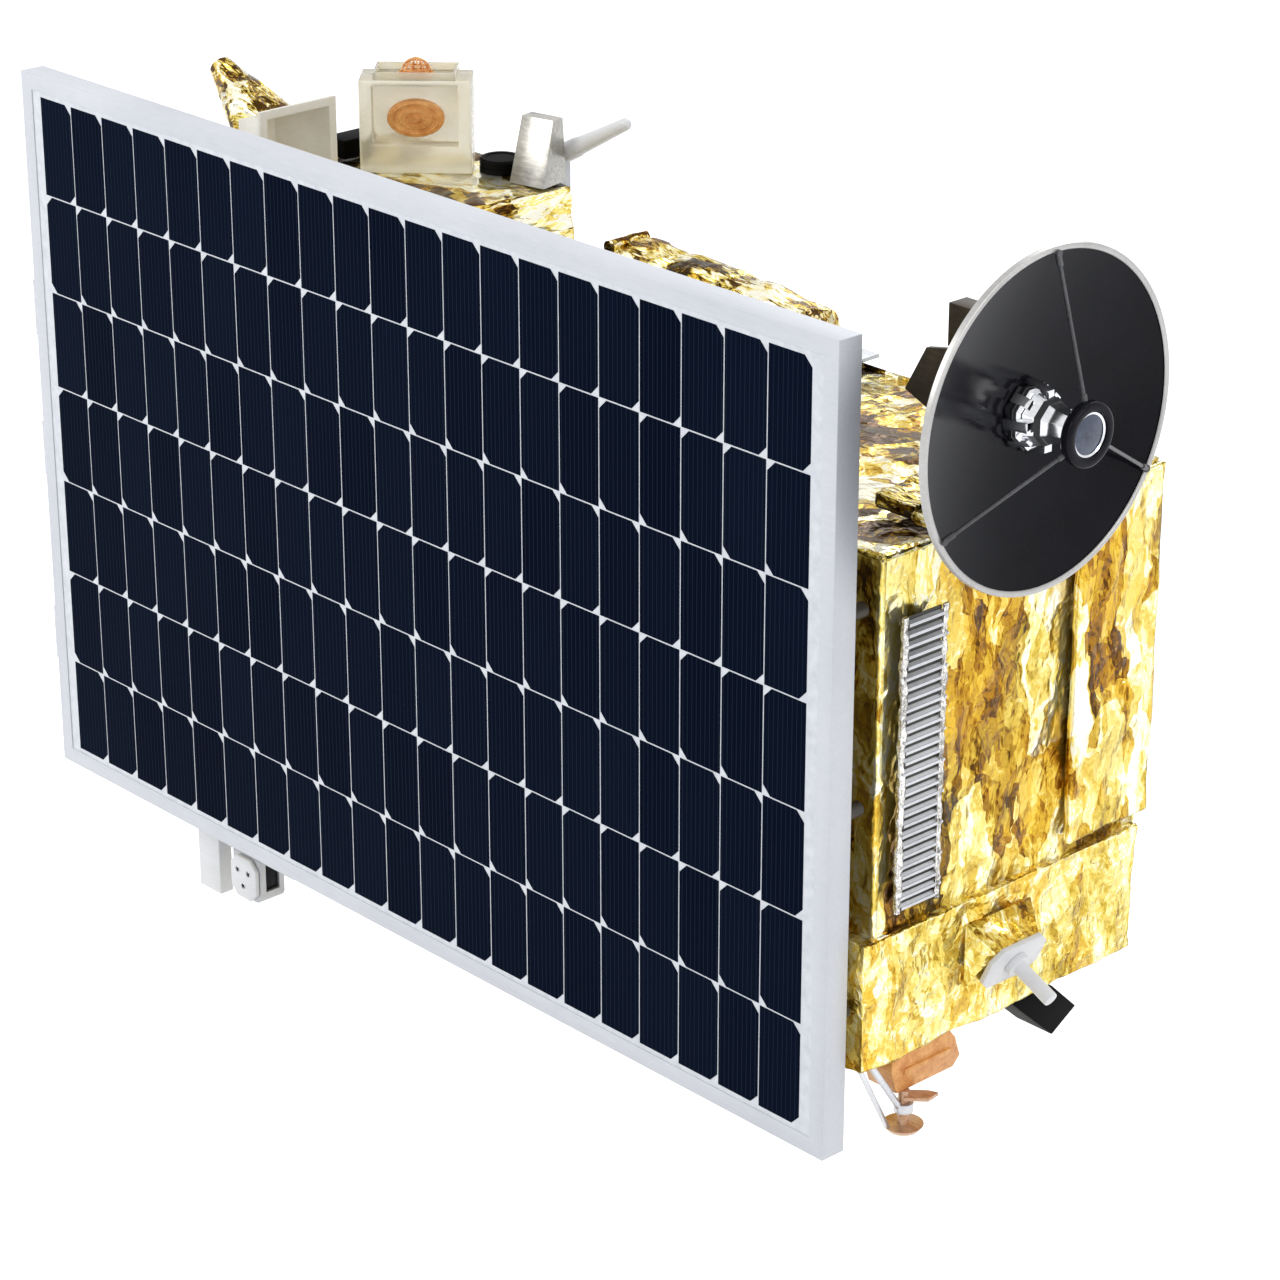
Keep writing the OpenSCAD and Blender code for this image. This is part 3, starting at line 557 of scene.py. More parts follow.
def worn(name, dark, light, rough, bump=0.0001, mottle=9.0, grain=220.0, **values):
    """A metal or paint whose colour and gloss drift between two near values."""
    material, nt, shader = principled(name, **values)
    wear = add(nt, "ShaderNodeGroup", {
        "Position": add(nt, "ShaderNodeTexCoord").outputs["Object"], "Mottle": mottle,
        "Grain": grain}, node_tree=surface_wear).outputs
    feed(nt, shader, {
        "Base Color": ramp(nt, wear["Mask"], [(0.32, dark), (0.68, light)]),
        "Roughness": maths(nt, "MULTIPLY_ADD", wear["Mask"], rough * 0.7, rough * 0.65),
        "Normal": add(nt, "ShaderNodeBump", {"Height": wear["Height"], "Strength": 0.6,
                                             "Distance": bump}).outputs[0]})
    return material


def dress(material, *nodes):
    """Gives CAD nodes a finished material."""
    for node in nodes:
        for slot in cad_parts[node].material_slots:
            slot.material = material


def softened(node, material, body, width=0.0009):
    """A copy of a CAD node with its edges rounded, which stands for it."""
    form = bmesh.new()
    form.from_mesh(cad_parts[node].data)
    bmesh.ops.remove_doubles(form, verts=form.verts, dist=1e-6)
    bmesh.ops.dissolve_limit(form, angle_limit=math.radians(0.6), verts=form.verts,
                             edges=form.edges)
    soften_edges(form, width)
    data = bpy.data.meshes.new(node + "_edged")
    form.to_mesh(data)
    form.free()
    shaded(data, 32)
    data.materials.append(material)
    placed(node + "_edged", data, body, [node])


bright_metal = worn("bright_metal", (0.50, 0.51, 0.53), (0.72, 0.73, 0.75), 0.34, Metallic=0.8)
grey_metal = worn("grey_metal", (0.36, 0.37, 0.38), (0.52, 0.53, 0.54), 0.4, Metallic=0.6)
dark_metal = worn("dark_metal", (0.035, 0.03, 0.025), (0.09, 0.08, 0.07), 0.45, Metallic=0.5)
dress(bright_metal, "adapter_ring")
dress(dark_metal, "hold_downs")
for node in ("hinge_brackets", "thruster_struts"):
    softened(node, bright_metal, "bus", 0.0006)
softened("hinge_leaves", bright_metal, "solar_panel", 0.0006)
for node in ("deck_plate", "rear_rail", "cone_bracket", "rod_bracket"):
    softened(node, grey_metal, "bus", 0.0012)

# The solar panel: dark half cells with fine silver fingers under thin film, laid on a pale
# sheet in a frame of pale anodised channel, with two cross rails behind.
panel_metal = worn("panel_metal", (0.64, 0.655, 0.69), (0.74, 0.755, 0.78), 0.5, mottle=4.0,
                   Metallic=0.1)
softened("panel_frame", panel_metal, "solar_panel", 0.0012)
softened("cross_rails", bright_metal, "solar_panel", 0.0012)

sheet, nt, shader = principled("pale_sheet", **{"Coat Weight": 0.3,
                                                "Coat Roughness": 0.1})
place = add(nt, "ShaderNodeTexCoord").outputs["Object"]
grain = add(nt, "ShaderNodeTexNoise", {"Vector": place, "Scale": 60.0, "Detail": 3.0})
feed(nt, shader, {
    "Base Color": ramp(nt, grain.outputs[0], [(0.3, (0.66, 0.69, 0.73)),
                                              (0.7, (0.80, 0.82, 0.85))]),
    "Roughness": maths(nt, "MULTIPLY_ADD", grain.outputs[0], 0.2, 0.3)})
dress(sheet, "panel_glass")

cell, nt, shader = principled("solar_cell", **{"IOR": 1.07,
                                               "Specular IOR Level": 0.2})
spot = add(nt, "ShaderNodeTexCoord").outputs["Object"]
place = add(nt, "ShaderNodeSeparateXYZ", {"Vector": spot})
cell_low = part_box("solar_cells")[0]
cell_pitch_x, cell_pitch_z, fingers = 0.0808, 0.15915, 9
across = maths(nt, "DIVIDE", maths(nt, "SUBTRACT", place.outputs["X"], cell_low.x), cell_pitch_x)
up = maths(nt, "DIVIDE", maths(nt, "SUBTRACT", place.outputs["Z"], cell_low.z), cell_pitch_z)
line = maths(nt, "LESS_THAN", maths(nt, "ABSOLUTE", maths(nt, "SUBTRACT", maths(
    nt, "FRACT", maths(nt, "MULTIPLY", across, fingers * 1.03)), 0.5)), 0.075)
which = add(nt, "ShaderNodeCombineXYZ", {"X": maths(nt, "FLOOR", across),
                                         "Y": maths(nt, "FLOOR", up)})
tint = add(nt, "ShaderNodeTexWhiteNoise", {"Vector": which.outputs[0]}, noise_dimensions="3D")
drift = add(nt, "ShaderNodeTexNoise", {"Vector": spot, "Scale": 2.2, "Detail": 2.0})
tone = maths(nt, "MULTIPLY_ADD", tint.outputs[0], 0.45, maths(
    nt, "MULTIPLY", drift.outputs[0], 0.55))
wafer = ramp(nt, tone, [(0.2, (0.0012, 0.0034, 0.012)), (0.8, (0.0034, 0.0072, 0.019))])
feed(nt, shader, {"Base Color": blended(nt, line, wafer, (0.012, 0.02, 0.036, 1)),
                  "Roughness": maths(nt, "MULTIPLY_ADD", tint.outputs[0], 0.1, 0.24)})
dress(cell, "solar_cells")

# The dish: a glossy black moulded bowl with a spun silver band clamped round it, a faceted
# chrome feed at its centre and a small black-ringed mirror on three rods.
rim_low, rim_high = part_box("dish_rim")
axis_y, axis_z = (rim_low.y + rim_high.y) / 2, (rim_low.z + rim_high.z) / 2
rim_x, rim_r = rim_high.x, (rim_high.y - rim_low.y) / 2
bowl_low, bowl_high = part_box("reflector")
bowl_r, bowl_front = (bowl_high.y - bowl_low.y) / 2, bowl_high.x
vertex_x, bowl_t = bowl_low.x + 0.003, 0.003
centre, forward = Vector((0, axis_y, axis_z)), Vector((1, 0, 0))
bowl_depth = bowl_front - vertex_x
curve = [(bowl_r * t, bowl_front - bowl_depth * (1 - t * t)) for t in np.linspace(0.0, 1, 60)]
curve[0] = (pole_r, curve[0][1])
profile = curve + [(r, x - bowl_t) for r, x in reversed(curve)]
black_gloss = worn("black_gloss", (0.006, 0.006, 0.008), (0.013, 0.013, 0.017), 0.13, 0.00002,
                   mottle=5.0, **{"Specular IOR Level": 0.3, "IOR": 1.24})


def dish_turned(name, profile, sides, material, slot, replaced=(), **finish):
    """A piece turned about the dish's axis, which rides the dish."""
    verts, faces = lathe(profile, centre, forward, sides)
    mesh_piece(name, verts, faces, material, "dish", slot, replaced, **finish)


dish_turned("dish_bowl", profile, 160, black_gloss, "black_reflector", ["reflector"], sharp=50,
            merge=pole_merge)

rim_silver = worn("rim_silver", (0.42, 0.41, 0.395), (0.60, 0.59, 0.57), 0.34, Metallic=0.5)
lip, band = 0.0085, rim_x - rim_low.x
profile = [(rim_r - lip, rim_x - 0.0022), (rim_r - lip + 0.0006, rim_x - 0.0008),
           (rim_r - lip + 0.002, rim_x), (rim_r - 0.0022, rim_x), (rim_r - 0.0006, rim_x - 0.0007),
           (rim_r, rim_x - 0.0022), (rim_r, rim_x - band + 0.001), (rim_r - 0.001, rim_x - band),
           (rim_r - 0.003, rim_x - band), (rim_r - 0.0037, rim_x - band + 0.001),
           (rim_r - 0.0037, rim_x - 0.0026), (rim_r - lip, rim_x - 0.0022)]
dish_turned("dish_rim_band", profile, 160, rim_silver, "rim_silver", ["dish_rim"])

chrome = worn("chrome", (0.66, 0.67, 0.70), (0.93, 0.94, 0.96), 0.1, mottle=26.0, Metallic=1.0)
black_plastic = worn("black_plastic", (0.008, 0.008, 0.009), (0.02, 0.02, 0.022), 0.42,
                     mottle=20.0)
feed_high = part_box("dish_feed")[1]
front_x = vertex_x + bowl_t


def octagon(name, profile, material, replaced=(), **finish):
    """A feed piece: a turned form with eight flat faces, along the dish's axis."""
    verts = []
    for radius, along in profile:
        for k in range(8):
            a = math.radians(45 * k + 22.5)
            verts.append((along, axis_y + radius * math.cos(a), axis_z + radius * math.sin(a)))
    mesh_piece(name, verts, tube_faces(len(profile), 8, closed=True), material, "dish", "chrome",
               replaced, sharp=25, **finish)


octagon("feed_body", [(0.045, front_x), (0.045, front_x + 0.020), (0.040, front_x + 0.024),
                      (0.038, front_x + 0.024), (0.026, front_x + 0.055),
                      (0.024, front_x + 0.060), (0.019, feed_high.x)], chrome, ["dish_feed"],
        bevel=0.0008)
verts, faces = [], []
for k in range(8):
    a = math.radians(45 * k)
    along, side = Vector((0, math.cos(a), math.sin(a))), Vector((0, -math.sin(a), math.cos(a)))
    inner, outer, reach = (0.034, 0.0465, 0.030) if k % 2 else (0.030, 0.050, 0.040)
    start = len(verts)
    for x in (front_x + 0.004, front_x + reach):
        for r in (inner, outer):
            for w in (-0.007, 0.007):
                verts.append(centre + along * (r - (0.008 if x > front_x + 0.01 else 0))
                             + side * w + Vector((x, 0, 0)))
    for f in ((0, 1, 3, 2), (4, 6, 7, 5), (0, 4, 5, 1), (2, 3, 7, 6), (0, 2, 6, 4), (1, 5, 7, 3)):
        faces.append(tuple(start + i for i in f))
mesh_piece("feed_clips", verts, faces, chrome, "dish", "chrome", sharp=25, bevel=0.0008)
octagon("feed_dark_band", [(0.0462, front_x + 0.008), (0.0462, front_x + 0.0135)],
        black_plastic)
octagon("feed_dark_collar", [(0.0330, front_x + 0.040), (0.0335, front_x + 0.042),
                             (0.0300, front_x + 0.048), (0.029, front_x + 0.048)], black_plastic)

ring_low, ring_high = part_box("sub_ring")
ring_r, ring_x = (ring_high.y - ring_low.y) / 2, ring_high.x
lens_low, lens_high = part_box("sub_lens")
lens_r, lens_x = (lens_high.y - lens_low.y) / 2, lens_high.x
profile = [(pole_r, ring_low.x), (ring_r - 0.010, ring_low.x), (ring_r - 0.003, ring_low.x + 0.003),
           (ring_r, ring_low.x + 0.008), (ring_r, ring_x - 0.003), (ring_r - 0.001, ring_x - 0.001),
           (ring_r - 0.003, ring_x), (lens_r + 0.003, ring_x), (lens_r + 0.001, ring_x - 0.001),
           (lens_r, ring_x - 0.0079), (pole_r, ring_x - 0.008)]
dish_turned("mirror_ring", profile, 96, black_gloss, "black_paint", ["sub_ring"],
            merge=pole_merge)
lens_glass = worn("lens_glass", (0.01, 0.016, 0.032), (0.07, 0.095, 0.16), 0.09, 0.00001,
                  mottle=55.0, **{"Metallic": 0.1, "Coat Weight": 0.3, "Coat Roughness": 0.04})
profile = [(pole_r, lens_x - 0.0038), (lens_r - 0.0004, lens_x - 0.0038),
           (lens_r - 0.0004, lens_x - 0.0012)]
profile += [(lens_r * 0.97 * (1 - t), lens_x - 0.001 + 0.0028 * (1 - (1 - t) ** 2))
            for t in np.linspace(0, 0.98, 16)]
profile.append((pole_r, lens_x + 0.0018))
dish_turned("mirror_lens", profile, 72, lens_glass, "lens_glass", ["sub_lens"],
            merge=pole_merge)
profile = [(lens_r - 0.0002, ring_x - 0.0055), (lens_r - 0.0002, ring_x - 0.0035),
           (lens_r - 0.0035, ring_x - 0.0048), (lens_r - 0.0035, ring_x - 0.0055),
           (lens_r - 0.0002, ring_x - 0.0055)]
dish_turned("mirror_bezel", profile, 96, chrome, "chrome")


def rod(path, radii, sides=16):
    """A round bar through points, with a radius at each, closed at both ends."""
    verts = []
    path = [Vector(p) for p in path]
    for i, point in enumerate(path):
        ahead = (path[min(i + 1, len(path) - 1)] - path[max(i - 1, 0)]).normalized()
        turn = ahead.to_track_quat("Z", "Y").to_matrix()
        for k in range(sides):
            a = 2 * math.pi * k / sides
            verts.append(point + turn @ Vector((radii[i] * math.cos(a), radii[i] * math.sin(a),
                                                0)))
    return verts, tube_faces(len(path), sides, closed=True)


def joined(parts):
    """Joins lists of (verts, faces) into one."""
    verts, faces = [], []
    for some, quads in parts:
        start = len(verts)
        verts += [tuple(v) for v in some]
        faces += [tuple(start + i for i in f) for f in quads]
    return verts, faces


rod_grey = worn("rod_grey", (0.03, 0.03, 0.033), (0.10, 0.10, 0.107), 0.34, Metallic=0.3)
parts = []
for turn in (90, 210, 330):
    a = math.radians(turn)
    out = Vector((0, math.cos(a), math.sin(a)))
    foot = centre + out * (rim_r - 0.010) + Vector((rim_x + 0.0005, 0, 0))
    top = centre + out * (ring_r - 0.004) + Vector((ring_low.x + 0.006, 0, 0))
    way = (top - foot).normalized()
    parts.append(rod([foot, foot + way * 0.016, foot + way * 0.017, top - way * 0.012,
                      top - way * 0.011, top],
                     [0.0044, 0.0044, 0.0028, 0.0028, 0.0042, 0.0042]))
    parts.append(rod([foot - Vector((0.0005, 0, 0)), foot + Vector((0.0035, 0, 0)),
                      foot + Vector((0.0042, 0, 0))], [0.0052, 0.0052, 0.0044], 20))
verts, faces = joined(parts)
mesh_piece("mirror_rods", verts, faces, rod_grey, "dish", "rim_silver", ["sub_struts"])

# The dish's drive: dark bronze plates and housings with rounded edges, and socket screws.
bronze = worn("bronze", (0.022, 0.015, 0.008), (0.075, 0.058, 0.035), 0.36, mottle=14.0,
              Metallic=0.7)
softened("gimbal_base", bronze, "bus", 0.0012)
softened("gimbal_yoke", bronze, "gimbal_yoke", 0.0014)
low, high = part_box("gimbal_base")
foil_box("drive_foot_foil", (low.x - 0.006, low.y - 0.004, low.z),
         (low.x + 0.076, high.y + 0.004, low.z + 0.024), hump_foil, "gold_foil", [], 0.005,
         [(0.045, 0.007), (0.018, 0.003)], 67, round_r=0.005)
foil_box("drive_plate_foil", (low.x + 0.07, low.y - 0.004, low.z),
         (low.x + 0.130, high.y + 0.004, low.z + 0.014), hump_foil, "gold_foil", [], 0.005,
         [(0.04, 0.002), (0.018, 0.001)], 69, round_r=0.003)
softened("dish_hub", bronze, "dish", 0.0012)


def shape_tree(name, inputs):
    """An empty Geometry Nodes tree with its own inputs between a geometry and a material."""
    return group_of(name, [("Geometry", "Geometry"), *inputs, ("Finish", "Material")],
                    [("Geometry", "Geometry")], "GeometryNodeTree")


def end_tree(tree, instances, finish):
    """Makes a tree's instances one real mesh in its material."""
    real = add(tree, "GeometryNodeRealizeInstances", {"Geometry": instances.outputs[0]})
    finished = add(tree, "GeometryNodeSetMaterial", {"Geometry": real.outputs[0],
                                                     "Material": finish})
    add(tree, "NodeGroupOutput", {"Geometry": finished.outputs[0]})
    return tree


def screw_head_tree():
    """Geometry Nodes: a small turned head stood on each point, facing along an attribute."""
    tree, given = shape_tree("screw_heads", [("Head Radius", "Float", 0.003),
                                             ("Head Height", "Float", 0.002)])
    skirt = add(tree, "GeometryNodeMeshCone", {
        "Vertices": 16, "Radius Top": maths(tree, "MULTIPLY", given["Head Radius"], 0.78),
        "Radius Bottom": given["Head Radius"], "Depth": given["Head Height"]})
    facing = add(tree, "GeometryNodeInputNamedAttribute", {"Name": "facing"},
                 data_type="FLOAT_VECTOR")
    turned = add(tree, "FunctionNodeAlignRotationToVector", {"Vector": facing.outputs[0]},
                 axis="Z")
    heads = add(tree, "GeometryNodeInstanceOnPoints", {
        "Points": given["Geometry"], "Instance": skirt.outputs["Mesh"],
        "Rotation": turned.outputs[0]})
    return end_tree(tree, heads, given["Finish"])


def baked(obj, tree, values):
    """Runs a Geometry Nodes tree on an object and leaves a plain mesh."""
    modifier = obj.modifiers.new("shape", "NODES")
    modifier.node_group = tree
    for socket in tree.interface.items_tree:
        if socket.in_out == "INPUT" and socket.name in values:
            modifier[socket.identifier] = values[socket.name]
    obj.update_tag()
    bpy.context.view_layer.update()
    graph = bpy.context.evaluated_depsgraph_get()
    mesh = bpy.data.meshes.new_from_object(obj.evaluated_get(graph))
    obj.modifiers.clear()
    obj.data = mesh


screw_tree = screw_head_tree()


def screws(name, places, radius, height, material, body):
    """Screw heads at (point, direction) pairs, each sunk a little in its seat."""
    data = bpy.data.meshes.new(name)
    data.from_pydata([tuple(p) for p, _ in places], [], [])
    data.attributes.new("facing", "FLOAT_VECTOR", "POINT").data.foreach_set(
        "vector", [c for _, way in places for c in way])
    piece = bpy.data.objects.new(name, data)
    scene.collection.objects.link(piece)
    baked(piece, screw_tree, {"Head Radius": radius, "Head Height": height, "Finish": material})
    shaded(piece.data, 40)
    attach(piece, body)


trunnion, cheek_half, circle_r = Vector((0.930, axis_y, 1.057)), 0.062, 0.0135
places = []
for side in (-1, 1):
    for k in range(6):
        a = math.radians(60 * k + 30)
        places.append((trunnion + Vector((circle_r * math.cos(a), side * cheek_half,
                                          circle_r * math.sin(a))), (0, side, 0)))
screws("yoke_screws", places, 0.0019, 0.0024, rod_grey, "gimbal_yoke")

# The deck instruments: a square horn in cream glass-fibre, a clear moulded antenna case with
# an orange patch and a wire dome, a low black box and a drum, a silver hood and a white tapered
# rod, and the black sensor under the bus in the same paint.
cream = worn("cream_moulding", (0.80, 0.75, 0.61), (0.90, 0.88, 0.81), 0.34, mottle=14.0,
             **{"Coat Weight": 0.25, "Coat Roughness": 0.15})
clear = worn("clear_moulding", (0.90, 0.83, 0.62), (0.97, 0.94, 0.84), 0.22, mottle=16.0,
             **{"Transmission Weight": 0.55, "IOR": 1.38})
black_paint = worn("black_paint", (0.0015, 0.0015, 0.0015), (0.006, 0.006, 0.006), 0.6,
                   mottle=18.0, **{"IOR": 1.2, "Specular IOR Level": 0.25})
for node, material, slot, width in (
        ("square_horn", cream, "white_paint", 0.001), ("clear_case", clear, "clear_case", 0.0022),
        ("clear_tray", clear, "clear_case", 0.001),
        ("receiver_box", black_paint, "black_paint", 0.0012),
        ("nadir_sensor", black_paint, "black_paint", 0.0015)):
    softened(node, material, "bus", width)
copper = worn("copper_orange", (0.58, 0.19, 0.035), (0.93, 0.50, 0.17), 0.34, mottle=48.0,
              Metallic=0.15)

drum_low, drum_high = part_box("drum_unit")
drum_x, drum_y = (drum_low.x + drum_high.x) / 2, (drum_low.y + drum_high.y) / 2
drum_r, drum_h = (drum_high.x - drum_low.x) / 2, drum_high.z - drum_low.z
verts, faces = lathe([(pole_r, 0), (drum_r, 0), (drum_r, drum_h * 0.28), (drum_r - 0.002,
                      drum_h * 0.32), (drum_r - 0.002, drum_h * 0.5), (drum_r, drum_h * 0.54),
                      (drum_r, drum_h - 0.003), (drum_r - 0.003, drum_h), (drum_r * 0.72, drum_h),
                      (drum_r * 0.7, drum_h - 0.0015), (pole_r, drum_h - 0.0015)],
                     (drum_x, drum_y, drum_low.z), (0, 0, 1), 64)
mesh_piece("drum_turned", verts, faces, black_paint, "bus", "black_paint", ["drum_unit"],
           merge=pole_merge)

patch_low, patch_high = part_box("patch_antenna")
patch_middle = (patch_low + patch_high) / 2
slant = math.sin(math.radians(45))
case_way, case_side = Vector((slant, -slant, 0)), Vector((slant, slant, 0))
patch_half_w, patch_half_h, patch_sides = 0.0452, 0.0298, 72
verts = []
rows = [(1.0, -0.0078), (1.0, 0.003), (0.97, 0.0052), (0.80, 0.0062), (0.77, 0.0048),
        (0.60, 0.0048), (0.57, 0.0062), (0.36, 0.0066), (0.33, 0.005), (0.2, 0.005),
        (0.18, 0.0078), (0.03, 0.0078)]
for share, out in rows:
    for k in range(patch_sides):
        a = 2 * math.pi * k / patch_sides
        verts.append(patch_middle + case_side * (patch_half_w * share * math.cos(a))
                     + Vector((0, 0, patch_half_h * share * math.sin(a))) + case_way * out)
mesh_piece("patch_disc", verts, tube_faces(len(rows), patch_sides, closed=True), copper, "bus",
           "copper_orange", ["patch_antenna"], sharp=30)

dome_low, dome_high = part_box("wire_dome")
dome = Vector(((dome_low.x + dome_high.x) / 2, (dome_low.y + dome_high.y) / 2, dome_low.z))
parts = [lathe([(pole_r, 0), (0.0295, 0), (0.030, 0.0008), (0.030, 0.003), (0.0292, 0.0038),
                (0.0270, 0.0042), (0.0262, 0.003), (pole_r, 0.003)], dome, (0, 0, 1), 64)]
for turn in range(0, 180, 30):
    flat = Vector((math.cos(math.radians(turn)), math.sin(math.radians(turn)), 0))
    arc = [dome + flat * (0.0235 * math.cos(a)) + Vector((0, 0, 0.002 + 0.0245 * math.sin(a)))
           for a in np.linspace(0, math.pi, 25)]
    parts.append(rod(arc, [0.0013] * 25, 8))
for height, radius in ((0.011, 0.0218), (0.019, 0.0172)):
    ring = [dome + Vector((radius * math.cos(a), radius * math.sin(a), height))
            for a in np.linspace(0, 2 * math.pi, 41)]
    parts.append(rod(ring, [0.001] * 41, 6))
parts.append(rod([dome + Vector((0, 0, 0.0245)), dome + Vector((0, 0, 0.0275)),
                  dome + Vector((0, 0, 0.0285))], [0.0045, 0.0045, 0.003], 20))
verts, faces = joined(parts)
mesh_piece("dome_wires", verts, faces, copper, "bus", "copper_orange", ["wire_dome"], merge=2e-5)

silver_film = worn("silver_film", (0.26, 0.255, 0.24), (0.62, 0.60, 0.54), 0.24, mottle=11.0,
                   Metallic=0.75)
softened("sensor_hood", silver_film, "bus", 0.0012)

white_paint = worn("white_paint", (0.74, 0.74, 0.74), (0.86, 0.86, 0.86), 0.4, mottle=12.0,
                   **{"Coat Weight": 0.15, "Coat Roughness": 0.2})
rod_low, rod_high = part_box("rod_antenna")
rod_tilt, foot_r, shaft_r, rod_r = math.radians(28), 0.016, 0.0145, 0.010
sleeve = 0.034   # length of the thicker foot
rod_way = Vector((math.cos(rod_tilt), 0, math.sin(rod_tilt)))
rod_end = Vector((rod_high.x - rod_r, (rod_low.y + rod_high.y) / 2, rod_high.z - rod_r))
rod_start = rod_end - rod_way * ((rod_end.x - rod_low.x - 0.0066) / rod_way.x)
rod_stops = [(0.0, 0.013), (0.002, foot_r), (0.030, foot_r), (sleeve, shaft_r)]
rod_span = (rod_end - rod_start).length
rod_stops += [(sleeve + (rod_span - sleeve) * t, shaft_r - 0.0045 * t) for t in (0.3, 0.7, 1)]
rod_stops += [(rod_span + rod_r * math.sin(a), rod_r * math.cos(a))
              for a in (0.35, 0.7, 1.05, 1.35, 1.5)]
verts, faces = rod([rod_start + rod_way * along for along, _ in rod_stops],
                   [radius for _, radius in rod_stops], 40)
mesh_piece("rod_antenna_turned", verts, faces, white_paint, "bus", "white_paint",
           ["rod_antenna"])

# The louvre on the right side: thin bright blades in a stack over a dark back plate, between
# two rails wrapped in crinkled silver tape. Bare aluminium, riveted to the side through the foil.
# painted reflection: the silver tones run from a dark painted reflection to a painted highlight
silver_reflection_tones = [(0.0, (0.10, 0.095, 0.085)), (0.35, (0.42, 0.40, 0.37)),
                (0.7, (0.82, 0.80, 0.76)), (1.0, (1, 0.99, 0.96))]
silver_tape = foil("silver_tape", 0.014, 0.003, 0.02, 0.5, 1.0, folds=0.3, tones=silver_reflection_tones,
                   deep_tones=silver_reflection_tones)
louvre_low, louvre_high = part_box("louvre_frame")
blade_low, blade_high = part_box("louvre_slats")
rail_w, slat_count = blade_low.y - louvre_low.y, 28
slat_step = (louvre_high.z - louvre_low.z) / slat_count
for side, y, replaced, seed in (("front", louvre_low.y, ["louvre_frame"], 71),
                                ("rear", louvre_high.y - rail_w, [], 83)):
    foil_box(f"louvre_rail_{side}", (louvre_low.x, y - 0.002, louvre_low.z - 0.004),
             (louvre_high.x + 0.001, y + rail_w + 0.001, louvre_high.z + 0.004), silver_tape,
             "bright_aluminium", replaced, 0.003, [(0.013, 0.0022), (0.006, 0.001)], seed,
             round_r=0.002, proud=0.0015)
back_metal = worn("louvre_back", (0.035, 0.032, 0.028), (0.10, 0.095, 0.085), 0.4, Metallic=0.6)


def blade_tree():
    """Geometry Nodes: a stack of tilted blades, each with an upright front lip."""
    tree, given = shape_tree("louvre_blades", [
        ("Count", "Int", 28), ("Pitch", "Float", 0.015),
        ("Blade", "Vector"), ("Lip", "Vector"),
        ("Tilt", "Float", 0.6), ("Start", "Vector")])
    gap = add(tree, "ShaderNodeCombineXYZ", {"Z": given["Pitch"]})
    line = add(tree, "GeometryNodeMeshLine", {"Count": given["Count"],
                                              "Start Location": given["Start"],
                                              "Offset": gap.outputs[0]})
    lean = add(tree, "ShaderNodeCombineXYZ", {"Y": given["Tilt"]})
    blade = add(tree, "GeometryNodeMeshCube", {"Size": given["Blade"]})
    leant = add(tree, "GeometryNodeTransform", {"Geometry": blade.outputs[0],
                                                "Rotation": lean.outputs[0]})
    lip = add(tree, "GeometryNodeMeshCube", {"Size": given["Lip"]})
    raised = add(tree, "GeometryNodeTransform", {"Geometry": lip.outputs[0],
                                                 "Translation": (0.0024, 0.0, -0.0022)})
    both = add(tree, "GeometryNodeJoinGeometry", {"Geometry": leant.outputs[0]})
    tree.links.new(raised.outputs[0], both.inputs[0])
    stack = add(tree, "GeometryNodeInstanceOnPoints", {"Points": line.outputs[0],
                                                       "Instance": both.outputs[0]})
    return end_tree(tree, stack, given["Finish"])


louvre_y = (blade_low.y + blade_high.y) / 2
blades = bpy.data.objects.new("louvre_blades", bpy.data.meshes.new("louvre_blades"))
scene.collection.objects.link(blades)
baked(blades, blade_tree(), {
    "Count": slat_count, "Pitch": slat_step, "Tilt": 0.75, "Finish": bright_metal,
    "Blade": (0.0078, blade_high.y - blade_low.y, 0.0012),
    "Lip": (0.0012, blade_high.y - blade_low.y, 0.0042),
    "Start": (louvre_low.x + 0.0052, louvre_y, louvre_low.z + slat_step / 2)})
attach(blades, "bus")
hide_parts("louvre_slats")
verts, faces = box_grid((louvre_low.x, blade_low.y - 0.001, louvre_low.z),
                        (louvre_low.x + 0.002, blade_high.y + 0.001, louvre_high.z), 0.02)
mesh_piece("louvre_back_plate", verts, faces, back_metal, "bus", "grey_aluminium")
places = [(Vector((louvre_high.x + 0.002, y + rail_w / 2, louvre_low.z + slat_step * (k + 0.5))),
           (1, 0, 0)) for y in (louvre_low.y, louvre_high.y - rail_w)
          for k in range(1, slat_count, 3)]
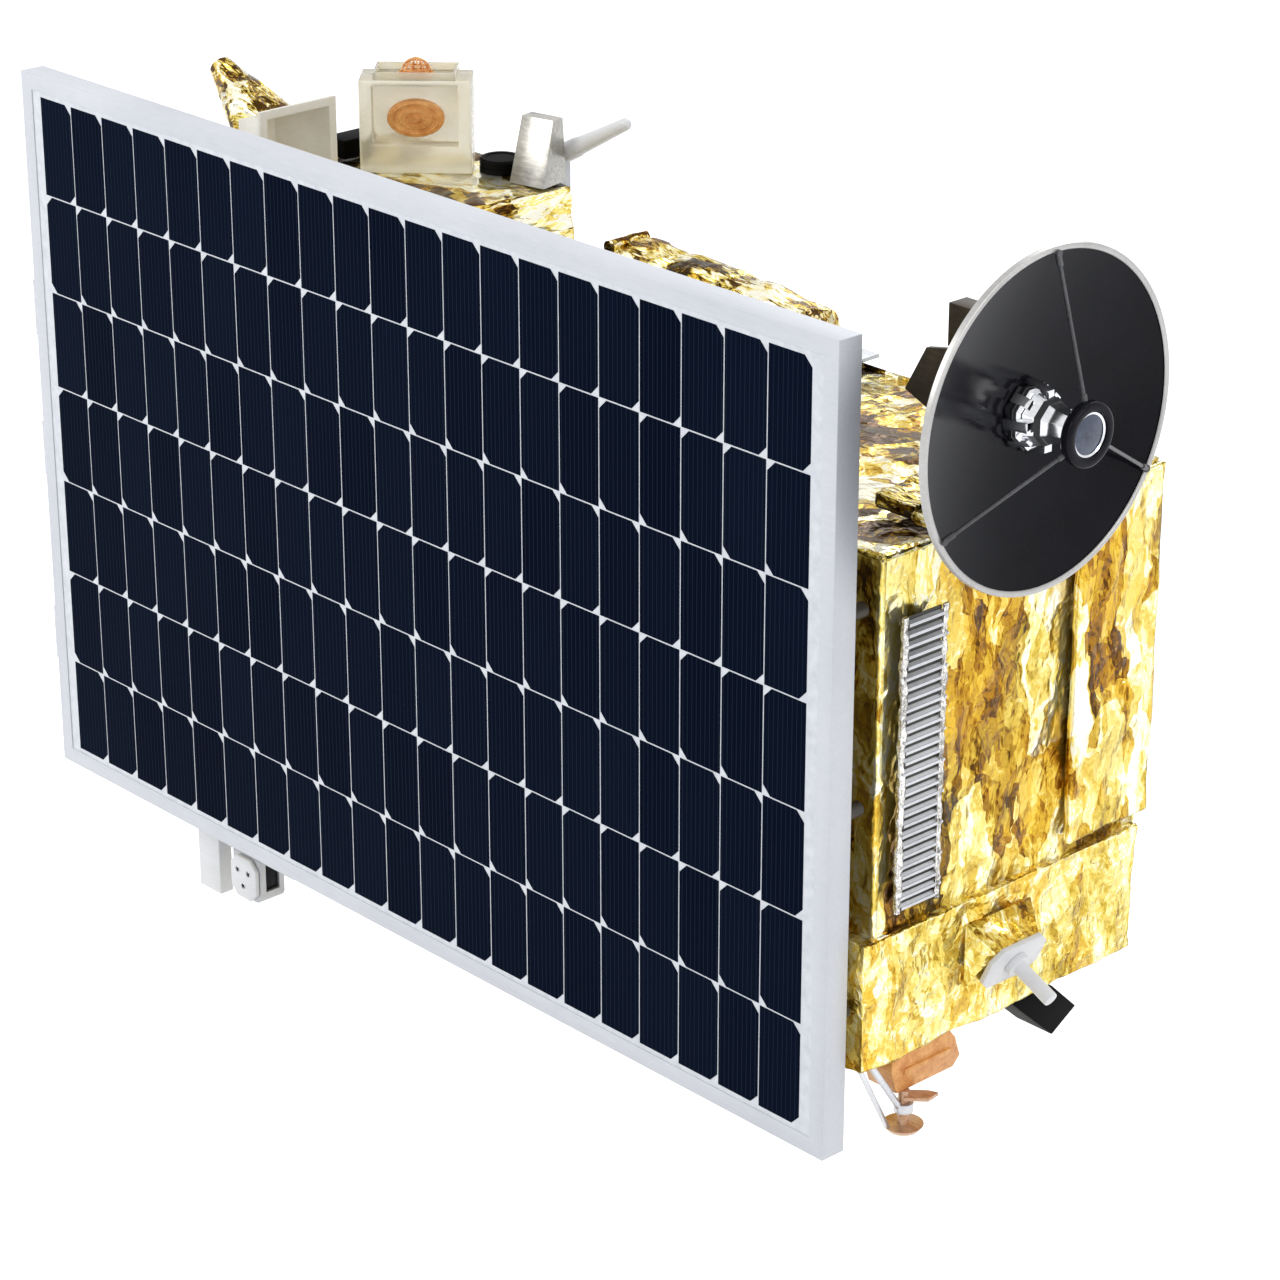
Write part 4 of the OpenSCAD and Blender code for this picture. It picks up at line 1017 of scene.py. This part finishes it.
screws("louvre_rivets", places, 0.0026, 0.002, bright_metal, "bus")

# The side probe: a foil-covered wedge, a white cut-corner flange plate and a white stub, which
# leans down and out. Below it, the orange-painted thruster bracket with its bare warm stem.
warm_alloy = worn("warm_alloy", (0.44, 0.20, 0.08), (0.74, 0.52, 0.36), 0.28, mottle=24.0,
                  Metallic=0.4)
for node, material, slot, width in (
        ("flange_bracket", module_foil, "gold_foil", 0.002),
        ("side_flange", white_paint, "white_paint", 0.0012),
        ("side_probe", white_paint, "white_paint", 0.0016),
        ("thruster_bracket", copper, "copper_orange", 0.0016),
        ("thruster_stem", warm_alloy, "copper_orange", 0.0012)):
    softened(node, material, "bus", width)

# The camera under the bus: a white post, a grey bent arm, a grey head with a dark side window
# and a white front cap with three small ports.
for node, material, slot, width in (
        ("camera_post", white_paint, "white_paint", 0.0016),
        ("camera_arm", grey_metal, "grey_aluminium", 0.0012),
        ("camera_body", grey_metal, "grey_aluminium", 0.001),
        ("camera_cap", white_paint, "white_paint", 0.0022),
        ("camera_window", black_gloss, "lens_glass", 0.0008)):
    softened(node, material, "bus", width)
cap_low, cap_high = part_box("camera_cap")
rings, ports = [], []
for dx, dz in ((-0.014, 0.012), (0.014, 0.012), (0.0, -0.014)):
    port = Vector(((cap_low.x + cap_high.x) / 2 + dx, cap_low.y,
                   (cap_low.z + cap_high.z) / 2 + dz))
    rings.append(lathe([(0.0056, -0.0004), (0.0056, 0.0007), (0.0052, 0.0011), (0.0046, 0.0011),
                        (0.0044, 0.0004), (0.0044, -0.0004), (0.0056, -0.0004)], port,
                       (0, -1, 0), 40))
    ports.append(lathe([(0.0003, 0.0003), (0.0045, 0.0003), (0.0045, -0.0004), (0.0003, -0.0004)],
                       port, (0, -1, 0), 40))
verts, faces = joined(rings)
mesh_piece("camera_port_rings", verts, faces, bright_metal, "bus", "bright_aluminium")
verts, faces = joined(ports)
mesh_piece("camera_port_glass", verts, faces, black_gloss, "bus", "lens_glass", merge=7e-4)

low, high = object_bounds()
